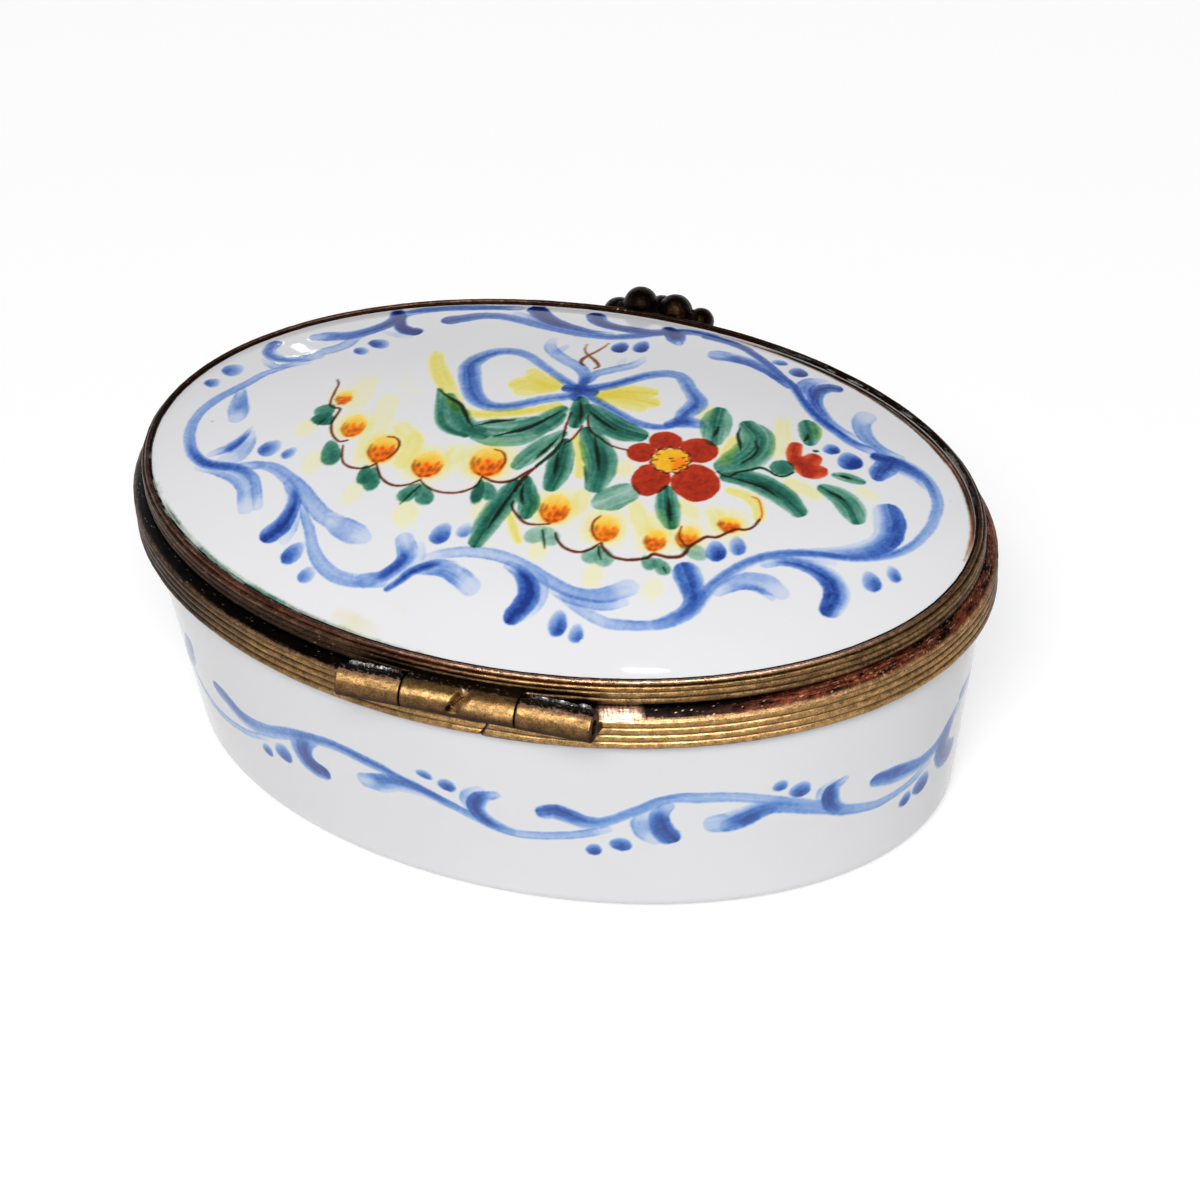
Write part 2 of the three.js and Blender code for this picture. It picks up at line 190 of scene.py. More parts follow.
def fan(ring, middle, at_start, window=(0, 0, 1, 1)):
    """Triangles from a ring of points to its middle, at a sweep's start or its end."""
    j = np.arange(len(ring))
    u0, v0, u1, v1 = window
    steps = (j + 1, j) if at_start else (j, j + 1)
    faces = np.stack([ring[s % len(ring)] for s in steps] + [np.full(len(ring), middle)], -1)
    u = np.stack([*steps, j + 0.5], -1) / len(ring)
    return faces, np.stack([u0 + (u1 - u0) * u, np.full(u.shape, v0 if at_start else v1)], -1)


def sweep_piece(name, body, nodes, points, capped=False, smooth_angle=50):
    """A piece from rows of points that each run round a loop. The rows are a closed section,
    or end in caps."""
    rows, columns = points.shape[:2]
    index = np.arange(rows * columns).reshape(rows, columns)
    flat = points.reshape(-1, 3)
    woven = [weave(index, not capped, True)]
    if capped:
        flat = np.concatenate([flat, points[0].mean(0)[None], points[-1].mean(0)[None]])
        woven += [fan(index[0], rows * columns, True), fan(index[-1], rows * columns + 1, False)]
    return mesh_piece(name, body, nodes, flat, woven, smooth_angle)


def keep_values(piece, name, values):
    """Numbers or colours kept at a mesh's points, for its material."""
    colour = values.ndim == 2
    layer = piece.data.attributes.new(name, "FLOAT_COLOR" if colour else "FLOAT", "POINT")
    if colour:
        values = np.concatenate([values, np.ones((len(values), 1))], 1)
    layer.data.foreach_set("color" if colour else "value", values.astype(np.float32).ravel())


def oval_points(angles, inset, height):
    """Points round the box: one row per section point, one column per angle."""
    x = (HALF_LENGTH - inset) * np.cos(angles)
    y = (HALF_WIDTH - inset) * np.sin(angles)
    return np.stack([x, y, np.broadcast_to(height, x.shape)], -1)


FINE_ANGLES = np.linspace(-1.5 * math.pi, 0.5 * math.pi, 20001)


def fine_run(inset=0.0):
    """Length round an oval, from the middle of the clasp side to each fine angle."""
    x = (HALF_LENGTH - inset) * np.cos(FINE_ANGLES)
    y = (HALF_WIDTH - inset) * np.sin(FINE_ANGLES)
    return np.concatenate([[0], np.cumsum(np.hypot(np.diff(x), np.diff(y)))])


def run_round(angles, inset=0.0):
    """How far round an oval each angle lies from the middle of the hinge side."""
    run = fine_run(inset)
    turned = (np.asarray(angles) + 1.5 * math.pi) % (2 * math.pi) - 1.5 * math.pi
    return np.interp(turned, FINE_ANGLES, run - run[len(run) // 2])


def even_angles(count):
    """Oval angles with even spacing along the oval, from the middle of the clasp side."""
    run = fine_run()
    return np.interp(np.arange(count) / count * run[-1], run, FINE_ANGLES)


def dense(section, step):
    """A section's corners joined by points no further apart than step."""
    out = []
    for a, b in zip(section[:-1], section[1:]):
        a, b = np.array(a, float), np.array(b, float)
        count = max(1, int(math.ceil(np.linalg.norm(b - a) / step)))
        out += [a + (b - a) * k / count for k in range(count)]
    return np.array(out + [section[-1]], float)


def eased(section, radius, closed=False, steps=3):
    """A section with its corners rounded."""
    points = [np.array(p, float) for p in section]
    out = []
    for k, p in enumerate(points):
        if not closed and k in (0, len(points) - 1):
            out.append(p)
            continue
        a, b = points[k - 1] - p, points[(k + 1) % len(points)] - p
        start, end = (p + v * min(radius / np.linalg.norm(v), 0.45) for v in (a, b))
        out += [(1 - s) ** 2 * start + 2 * s * (1 - s) * p + s * s * end
                for s in np.linspace(0, 1, steps)]
    return out


# Porcelain
def make_lid_porcelain():
    """The dome is a grid fitted to the oval, so that its points are evenly spaced."""
    u = np.linspace(-1, 1, LID_COLUMNS)[None, :]
    v = np.linspace(-1, 1, LID_ROWS)[:, None]
    across, along = u * np.sqrt(1 - v**2 / 2), v * np.sqrt(1 - u**2 / 2)
    share = np.minimum(np.hypot(across, along), 1)
    height = LID_EDGE + DOME_HEIGHT * (1 - share**DOME_POWER)
    dome = np.stack([across * DOME_LENGTH, along * DOME_WIDTH, height], -1)
    index = np.arange(share.size).reshape(share.shape)
    edge = np.concatenate([index[0, :-1], index[:-1, -1], index[-1, :0:-1], index[:0:-1, 0]])
    rim_points = dome.reshape(-1, 3)[edge]
    angles = np.arctan2(rim_points[:, 1] / DOME_WIDTH, rim_points[:, 0] / DOME_LENGTH)
    outer, bottom = HALF_LENGTH - DOME_HIGH[0], DOME_LOW[2]
    side = np.array(eased([(outer + 0.3, LID_EDGE), (outer, LID_EDGE), (outer, bottom),
                           (RIM_INNER, bottom)], 0.12))[1:]
    rim = oval_points(angles[None, :], side[:, :1], side[:, 1:])
    shares = np.linspace(1, 0.04, 14)[1:, None]
    under = np.stack([
        shares * (HALF_LENGTH - RIM_INNER) * np.cos(angles),
        shares * (HALF_WIDTH - RIM_INNER) * np.sin(angles),
        np.broadcast_to(bottom + HOLLOW_DEPTH * (1 - shares**DOME_POWER),
                        (len(shares), len(angles))),
    ], -1)
    skirt = np.concatenate([rim, under])
    flat = np.concatenate([dome.reshape(-1, 3), skirt.reshape(-1, 3), under[-1].mean(0)[None]])
    rows = np.arange(skirt.shape[0] * skirt.shape[1]).reshape(skirt.shape[:2]) + index.size
    rows = np.concatenate([edge[None], rows])[:, ::-1]
    over, below = (0, 0, 1, 0.8), (0, 0.82, 1, 1)  # windows of the map
    woven = [weave(index, window=over), weave(rows, wrap_columns=True, window=below),
             fan(rows[-1], len(flat) - 1, False, below)]
    piece = mesh_piece("lid_porcelain_glazed", "lid", ["lid_porcelain"], flat, woven)
    return piece, flat


def make_cup():
    """The cup, with its outer wall finest where the painted band runs."""
    turn = np.linspace(0, math.pi / 2, 9)
    foot = np.stack([FOOT_INSET + FOOT_ROUND * (1 - np.sin(turn)),
                     FOOT_ROUND * (1 - np.cos(turn))], -1)
    wall_top = MOUNT_BOTTOM - 0.1
    heights = np.concatenate([
        np.linspace(FOOT_ROUND, BAND_LOW, 9)[1:-1],
        np.linspace(BAND_LOW, BAND_HIGH, BAND_ROWS),
        np.linspace(BAND_HIGH, wall_top, 12)[1:],
    ])
    taper = (FOOT_INSET - CUP_INSET) * (heights - FOOT_ROUND) / (wall_top - FOOT_ROUND)
    wall = np.stack([FOOT_INSET - taper, heights], -1)
    inner, floor_inset = CUP_INSET + CUP_WALL, FOOT_INSET + CUP_WALL
    upper = dense(eased([
        (CUP_INSET, MOUNT_BOTTOM), (CUP_INSET, CUP_TOP), (inner, CUP_TOP), (inner, MOUNT_BOTTOM),
        (floor_inset, CUP_FLOOR + 1.8), (floor_inset + 0.6, CUP_FLOOR + 0.6),
        (floor_inset + 1.8, CUP_FLOOR), (floor_inset + 6, CUP_FLOOR),
    ], 0.7, steps=5), 1.6)
    section = np.concatenate([foot, wall, upper])
    angles = even_angles(CUP_COLUMNS)
    walls = oval_points(angles[None, :], section[:, :1], section[:, 1:])
    under = [walls[0] * (s, s, 1) for s in (0.05, 0.3, 0.6, 0.85)]
    floor = [walls[-1] * (s, s, 1) for s in (0.8, 0.55, 0.3, 0.05)]
    points = np.concatenate([under, walls, floor])
    outside = slice(len(under) + len(foot), len(under) + len(foot) + len(wall))
    return sweep_piece("base_porcelain_glazed", "base", ["base_porcelain"], points,
                       capped=True), points, angles, outside


# Brass mounts
# Where the base mount's strip meets its own end: run, height there, and lean
JOINT_AT, JOINT_HEIGHT, JOINT_LEAN = 1.9, 20.8, 0.5


def ridge_rows(section, count, depth, per_ridge=9):
    """Half-round ridges with sharp grooves between them, side by side up a section: inset,
    height and groove share, which is below 0 on a ridge's lower half."""
    line = dense(section, 0.02)
    along = np.concatenate([[0], np.cumsum(np.hypot(*np.diff(line, axis=0).T))])
    slope = np.gradient(line, along, axis=0)
    rows = []
    for k in range(count):
        for s in np.linspace(0, 1, per_ridge)[: None if k == count - 1 else -1]:
            sunk = 1 - math.sqrt(1 - (2 * s - 1) ** 2 * 0.98)
            at = along[-1] * (k + s) / count
            inset, height, in_slope, up_slope = (
                float(np.interp(at, along, v)) for v in (*line.T, *slope.T))
            rows.append((inset + depth * sunk * up_slope, height - depth * sunk * in_slope,
                         math.copysign(sunk, 2 * s - 1)))
    return rows


def plain_rows(section, radius, step, steps=3):
    return [(*p, 0.0) for p in dense(eased(section, radius, steps=steps), step)]


def base_mount_rows():
    """The base mount's section in three parts: ridges, shoulder, and flange and inside."""
    inner_wall = CUP_INSET - 0.1
    return (
        ridge_rows([(0, MOUNT_BOTTOM), (0, SHOULDER)], 4, 0.25),
        plain_rows([(0.02, SHOULDER + 0.02), (LEDGE / 3, (SHOULDER + SEAM) / 2),
                    (LEDGE - 0.02, SEAM), (LEDGE + 0.6, SEAM)], 0.25, 0.09, 6),
        plain_rows([(FLANGE_OUTER, SEAM), (FLANGE_OUTER, COLLAR_TOP), (FLANGE_INNER, COLLAR_TOP),
                    (FLANGE_INNER, SEAM - 2.1), (FLANGE_OUTER, SEAM - 2.1),
                    (FLANGE_OUTER, CUP_TOP + 0.2), (inner_wall, CUP_TOP + 0.2),
                    (inner_wall, MOUNT_BOTTOM)], 0.08, 1.2),
    )


def lid_mount_rows():
    """The lid mount's section in three parts: ridges, lip, and inside and underside."""
    lip, floor_inner = LIP_END - 0.16, FLANGE_OUTER - 0.15
    crest = [(LEDGE, LID_BOTTOM), (LEDGE, LID_TOP - 0.42), (LEDGE + 0.4, LID_TOP), (lip, LID_TOP)]
    return (
        ridge_rows(eased(crest, 0.25, steps=6), 4, 0.18),
        plain_rows([(lip + 0.02, LID_TOP - 0.1), (LIP_END, LID_TOP - 0.12),
                    (LIP_END, LID_EDGE + 0.1)], 0.05, 0.07),
        plain_rows([(LEDGE + 0.5, LID_EDGE + 0.1), (LEDGE + 0.5, LID_BOTTOM + 0.4),
                    (floor_inner, LID_BOTTOM + 0.4), (floor_inner, LID_BOTTOM),
                    (LEDGE + 0.25, LID_BOTTOM)], 0.06, 0.8),
    )


def make_mount(name, body, node, parts, seed, joint=False):
    """A mount as one strip carried round, with its ridges uneven as in soft old brass. Gives the
    piece, and for each of its points the part, run, noise turn, inset, height and groove."""
    rows = np.array(sum(parts, []))
    part = np.concatenate([np.full(len(x), k) for k, x in enumerate(parts)])[:, None]
    angles = even_angles(MOUNT_COLUMNS)
    run = run_round(angles)[None, :]
    turn = run / fine_run()[-1] * NOISE_CELLS  # closes with the noise
    inset, height, groove = (np.repeat(rows[:, k : k + 1], len(angles), 1) for k in range(3))
    low, high = rows[0, 1], rows[part[:, 0] == 0, 1].max()
    middle = np.where(part == 0, np.sin(np.pi * (height - low) / (high - low)), 0)
    middle = np.clip(middle, 0, 1)
    for depth, fine, tall, step in ((0.03, 2, 2.5, 0), (0.012, 9, 3, 1)):
        dents = depth * np.abs(noise2(turn * fine, height * tall, seed + step))
        inset = inset + np.where(part < 2, dents, 0)
    height = height + middle * 0.04 * noise2(turn * 1.0, height * 0, seed + 2)
    if joint:
        past = run - JOINT_AT - JOINT_LEAN * (height - JOINT_HEIGHT)
        left = np.where(past < 0, np.exp(past / 3), 0)
        right = np.where(past >= 0, np.exp(-past / 3.5), 0)
        height = height + middle * (0.16 * right - 0.16 * left)
        inset = inset + np.where(part < 1, 0.09 * left + 0.16 * bell(past, 0, 0.09), 0)
        groove = groove * (1 - bell(past, 0, 0.12)) - bell(past, 0, 0.12)
    piece = sweep_piece(name, body, [node], oval_points(angles[None, :], inset, height))
    return piece, part, run, turn, inset, height, groove


# Hinge
BARREL = 1.15
BORE = 0.55
PIN = 0.5
LEG_FALL = 0.6  # how much lower the leg's foot is than the barrel, over its reach
LEG_REACH = 2.05
LEG_TOP = -0.575
DENT_AT, DENT_DEPTH = 0.2, 0.5
SOLDER_RADIUS, SOLDER_LIMIT = 1.36, 1.49


def hinge_ring(x, radius, turn):
    """Points round the hinge's axis. The turn is 0 towards the box and a quarter upwards."""
    return np.stack([np.full(len(turn), x), HINGE_Y + radius * np.cos(turn),
                     HINGE_Z + radius * np.sin(turn)], -1)


def mount_reach(x, inset):
    """From the hinge axis to a mount's outer face, for places along the hinge."""
    return -HINGE_Y - (HALF_WIDTH - inset) * np.sqrt(1 - (x / (HALF_LENGTH - inset)) ** 2)


def base_outline(turn, x):
    """Radius of an outer knuckle round the pin."""
    reach = mount_reach(x, 0) - 0.06
    sine, cosine = np.sin(turn), np.cos(turn)
    bottom = -BARREL / np.minimum(sine + LEG_FALL / LEG_REACH * cosine, -1e-6)
    corners = [(reach, -3), (reach, -1.15), (reach + 0.3, -0.72), (reach + 0.9, -0.34)]
    bearings = [math.atan2(w, u) for u, w in corners]
    face = np.interp(turn, bearings, [math.hypot(u, w) for u, w in corners])
    lowest = math.atan2(LEG_TOP, math.sqrt(BARREL**2 - LEG_TOP**2))
    in_leg = (turn > -math.pi / 2) & (turn < lowest)
    return np.where(in_leg, np.maximum(BARREL, np.minimum(bottom, face)), BARREL)


def lid_outline(turn, x):
    """Radius of the middle knuckle, whose sheet runs on to the lid mount as a leaf."""
    reach = mount_reach(x, LEDGE) + 0.05
    sine, cosine = np.sin(turn), np.cos(turn)
    over = BARREL / np.maximum(sine + (0.42 / reach) * cosine, 1e-6)
    under = -0.3 / np.minimum(sine, -1e-6)
    face = reach / np.maximum(cosine, 1e-6)
    in_leaf = (turn > -0.6) & (turn < math.pi / 2)
    sheet = np.minimum(np.where(sine > 0, over, under), face)
    return np.where(in_leaf, np.maximum(BARREL, sheet), BARREL)


def past_fold(x, turn):
    """How far a place on the middle knuckle lies to the right of its leaning fold."""
    return x - DENT_AT + 0.5 * (turn - 2.5)


def fold_share(turn):
    return smooth(turn, 1.25, 1.8) * (1 - smooth(turn, 3.0, 3.5))


def knuckle_dent(x, turn):
    """The pinch in the middle knuckle: steep on its left and easy on its right."""
    along = past_fold(x, turn)
    fold = np.where(along < 0, smooth(along, -0.42, 0), 1 - smooth(along, 0.0, 1.0))
    return DENT_DEPTH * fold * fold_share(turn)


def make_knuckle(name, body, node, outline, seed, dent):
    low, high = span(node)
    start, end, edge = low[0], high[0], 0.035
    turn = np.linspace(-math.pi, math.pi, 112, endpoint=False)
    count = int((end - start) / 0.09)
    xs = np.concatenate([[start, start + edge / 3], np.linspace(start + edge, end - edge, count),
                         [end - edge / 3, end]])
    at = [start, start + edge / 3, start + edge, end - edge, end - edge / 3, end]
    shrink = np.interp(xs, at, [edge, edge / 3, 0, 0, edge / 3, edge])
    rows = []
    for x, less in zip(xs, shrink):
        swell = 0.018 * noise2(x * 0.9 + 0 * turn, turn * 2.2, seed)
        swell += 0.008 * noise2(x * 3 + 0 * turn, turn * 7, seed + 1)
        radius = outline(turn, x) - less - np.abs(swell)
        if dent:
            radius = radius - dent(x, turn)
        rows.append(hinge_ring(x, radius, turn))
    rows += [hinge_ring(x, BORE, turn) for x in np.linspace(end, start, 12)]
    return sweep_piece(name, body, [node], np.array(rows), smooth_angle=35)


def make_pin():
    low, high = span("hinge_pin")
    turn = np.linspace(-math.pi, math.pi, 48, endpoint=False)
    xs = [low[0], low[0] + 0.06, *np.linspace(low[0] + 0.2, high[0] - 0.2, 30),
          high[0] - 0.06, high[0]]
    radii = [PIN - 0.08, PIN - 0.01, *[PIN] * 30, PIN - 0.01, PIN - 0.08]
    rows = [hinge_ring(x, radius, turn) for x, radius in zip(xs, radii)]
    return sweep_piece("hinge_pin_wire", "base", ["hinge_pin"], np.array(rows),
                       capped=True, smooth_angle=35)


def make_solder(name, node, seed, lumps):
    """The solder bed between an outer knuckle and the mount. Lumps are its heaps: place along
    the hinge, half-length and height."""
    low, high = span(node)
    bottom, top = math.radians(-17), math.radians(40)
    share, back = np.linspace(0, 1, 34), 8  # back: points down the barrel's side
    rows, bright = [], []
    for x in np.arange(low[0], high[0], 0.045):
        ends = min(1.0, (x - low[0]) / 0.4, (high[0] - x) / 0.4)
        heap = max([rise * float(bell(x, at, half)) for at, half, rise in lumps])
        ragged = 0.14 * float(noise2(np.array(x * 2.9), np.array(0.5), seed))
        reach = bottom + share * (top + (0.42 * heap + ragged) * ends - bottom)
        grain = octaves(x * 3.1 + 0 * reach, reach * 5.0, seed + 1)
        chip = octaves(x * 6.5 + 0 * reach, reach * 9.0, seed + 3)
        outer = SOLDER_RADIUS + 0.13 * heap + 0.07 * grain * ends + 0.05 * chip
        outer = np.clip(outer, BARREL + 0.05, SOLDER_LIMIT)
        loop = np.concatenate([outer, np.full(back, BARREL + 0.02)])
        around = np.concatenate([reach, np.linspace(reach[-1], bottom, back)])
        rows.append(hinge_ring(x, loop, around))
        high_up = smooth(reach, top - 0.25, top + 0.05)
        bright.append(np.concatenate([heap * high_up, np.zeros(back)]))
    piece = sweep_piece(name, "base", [node], np.array(rows), capped=True)
    keep_values(piece, "shine", np.concatenate([np.array(bright).ravel(), np.zeros(2)]))
    return piece


def make_cement(name, body, node, inner):
    low, high = span(node)
    outer = HALF_LENGTH - high[0]
    section = np.array(eased([(outer, low[2]), (outer, high[2]), (inner, high[2]),
                              (inner, low[2])], 0.04, closed=True))
    angles = even_angles(MOUNT_COLUMNS // 2)[None, :]
    return sweep_piece(name, body, [node],
                       oval_points(angles, section[:, :1], section[:, 1:]))


# Clasp, on the far side
CLASP_X = 1.0
BERRY = 1.3
# Berries, in shares of that radius: sideways, outward, up from the seam, and own radius
BERRIES = [(-2.62, 0.35, -0.04, 1.02), (-1.19, 0.27, 1.04, 1.05), (0.96, 0.27, 0.88, 1.05),
           (2.54, 0.27, 0.46, 0.81), (-0.08, 0.88, 0.31, 0.92), (-1.46, 1.15, -0.73, 0.92),
           (1.42, 1.15, -0.65, 0.92), (0.04, 1.31, -1.35, 0.85)]
PLATE_INNER, PLATE_OUTER = 1.0, 1.55
PLATE_HALF = 3.2
PLATE_BOTTOM, PLATE_TOP = SEAM - 2.35, SEAM + 1.55
ARM_BOTTOM = SEAM + 0.15


def fused(name, body, node, balls, bars, voxel, rough=0.0, seed=0):
    """Balls and bars melted into one closed skin. A ball is its middle and radius, and a bar
    is a section of corners across the clasp with its two ends."""
    work = bmesh.new()
    for middle, radius in balls:
        place = Matrix.Translation(Vector(middle)) @ Matrix.Scale(radius, 4)
        bmesh.ops.create_icosphere(work, subdivisions=3, radius=1, matrix=place)
    for section, start, end in bars:
        ends = [[work.verts.new((x, y, z)) for y, z in section] for x in (start, end)]
        work.faces.new(ends[0])
        work.faces.new(ends[1][::-1])
        for k in range(len(section)):
            n = (k + 1) % len(section)
            work.faces.new([ends[0][n], ends[0][k], ends[1][k], ends[1][n]])
    bmesh.ops.recalc_face_normals(work, faces=work.faces)
    mesh = bpy.data.meshes.new(name)
    work.to_mesh(mesh)
    work.free()
    piece = bpy.data.objects.new(name, mesh)
    LINK(piece)
    remesh = piece.modifiers.new("remesh", "REMESH")
    remesh.mode, remesh.voxel_size = "VOXEL", voxel
    soften = piece.modifiers.new("soften", "SMOOTH")
    soften.factor, soften.iterations = 0.5, 3
    graph = bpy.context.evaluated_depsgraph_get()
    made = bpy.data.meshes.new_from_object(piece.evaluated_get(graph))
    piece.modifiers.clear()
    piece.data = made
    co = read_vectors(made, "co")
    if rough:
        bump = noise2(co[:, 0] * 3.1 + co[:, 2] * 1.7, co[:, 1] * 3.3 - co[:, 2] * 2.1, seed)
        bump += 0.6 * noise2(co[:, 0] * 7 - co[:, 2] * 3, co[:, 1] * 7 + co[:, 2] * 4, seed + 1)
        co += read_vectors(made, "normal") * (rough * bump)[:, None]
    place_points(made, co)
    made.polygons.foreach_set("use_smooth", np.ones(len(made.polygons), bool))
    made.update()
    return declare(piece, body, [node])


def clasp_bar(corners, half):
    return [(HALF_WIDTH + out, z) for out, z in corners], CLASP_X - half, CLASP_X + half


def round_section(out, z, radius, count=20):
    return [(out + radius * math.cos(2 * math.pi * k / count),
             z + radius * math.sin(2 * math.pi * k / count)) for k in range(count)]


def make_thumbpiece():
    balls = [((CLASP_X + s * BERRY, HALF_WIDTH + o * BERRY, SEAM + r * BERRY), k * BERRY)
             for s, o, r, k in BERRIES]
    plate = clasp_bar([(0.02 - LEDGE, ARM_BOTTOM), (0, ARM_BOTTOM),
                       (PLATE_INNER, ARM_BOTTOM - PLATE_INNER), (PLATE_INNER, PLATE_BOTTOM),
                       (PLATE_OUTER, PLATE_BOTTOM), (PLATE_OUTER, ARM_BOTTOM), (0, PLATE_TOP),
                       (0.02 - LEDGE, PLATE_TOP)], PLATE_HALF)
    piece = fused("clasp_berries", "lid", "clasp_thumbpiece", balls, [plate],
                  0.07, 0.012, 71)
    co = read_vectors(piece.data, "co") / MM
    behind = np.where(co[:, 2] < ARM_BOTTOM, np.minimum(ARM_BOTTOM - co[:, 2], PLATE_INNER),
                      0.03 - LEDGE)
    co[:, 1] = HALF_WIDTH + np.maximum(co[:, 1] - HALF_WIDTH, behind)
    place_points(piece.data, co)
    piece.data.update()
    return piece


def make_catch():
    low, high = span("clasp_catch")
    radius = (high[2] - low[2]) / 2
    bar = clasp_bar(round_section(0, low[2] + radius, radius), (high[0] - low[0]) / 2)
    return fused("clasp_catch_lug", "base", "clasp_catch", [], [bar], 0.06)


def make_tongue():
    low, high = span("clasp_tongue")
    inner, outer = high[1] - 0.3 - HALF_WIDTH, high[1] - HALF_WIDTH
    half = (high[0] - low[0]) / 2
    strip = clasp_bar([(inner, low[2]), (outer, low[2]), (outer, high[2]), (inner, high[2])], half)
    bump = clasp_bar(round_section(inner, SEAM - 2.25, 0.15, 14), half)
    return fused("clasp_tongue_spring", "lid", "clasp_tongue", [], [strip, bump], 0.05)


# Painting: strokes of enamel on a sheet of dots, read back at the mesh's points
DOTS = 20  # to the millimetre
FADE_REACH, FADE = 1.6, 0.5  # how far and how much a thin end is dragged out dry
GRAIN = 0.16  # how much the glaze's grain shows in a stroke
OVERLAP = 0.45  # how much one stroke darkens another of its colour
THIN = {"yellow": 0.35, "beige": 0.35}  # pigments that lie thinner than the others
PAPER = np.array([232, 232, 234]) / 255
# Colour of each pigment over the glaze, from thin to thick
PIGMENTS = {
    "blue": [(198, 210, 234), (128, 160, 216), (64, 104, 184), (26, 54, 134)],
    "band": [(190, 208, 236), (112, 156, 218), (36, 98, 184), (0, 54, 140)],
    "green": [(190, 212, 202), (100, 156, 136), (32, 106, 88), (8, 66, 54)],
    "vein": [(150, 180, 160), (70, 100, 80), (26, 56, 44), (10, 32, 26)],
    "yellow": [(238, 234, 196), (236, 226, 140), (232, 212, 84), (228, 200, 52)],
    "gold": [(246, 226, 160), (246, 198, 84), (240, 172, 44), (228, 148, 24)],
    "orange": [(240, 190, 130), (232, 140, 60), (214, 96, 30), (180, 62, 16)],
    # the blue darkened as painted shade, for the dome's far side
    "navy": [(184, 200, 234), (92, 132, 206), (26, 76, 164), (0, 32, 112)],
    "red": [(230, 150, 120), (212, 92, 54), (190, 52, 18), (140, 24, 8)],
    "brown": [(196, 160, 140), (150, 98, 74), (108, 56, 38), (72, 30, 20)],
    "grey": [(216, 218, 214), (180, 184, 178), (130, 134, 126), (70, 72, 66)],
    "beige": [(230, 224, 206), (220, 208, 178), (200, 182, 144), (170, 150, 110)],
}


def spline(points, step=0.12):
    """A smooth line through the points, and how far along the list each place lies."""
    p = np.array(points, float)
    if len(p) < 2:
        p = np.concatenate([p, p + (0.001, 0)])
    ends = np.concatenate([[2 * p[0] - p[1]], p, [2 * p[-1] - p[-2]]])
    out, along = [], []
    for k in range(len(p) - 1):
        a, b, c, d = ends[k : k + 4]
        count = max(1, int(np.linalg.norm(c - b) / step))
        for t in np.arange(count) / count:
            out.append(0.5 * (2 * b + (c - a) * t + (2 * a - 5 * b + 4 * c - d) * t**2
                              + (3 * b - a - 3 * c + d) * t**3))
            along.append(k + t)
    return np.array(out + [p[-1]]), np.array(along + [len(p) - 1.0]) / (len(p) - 1)


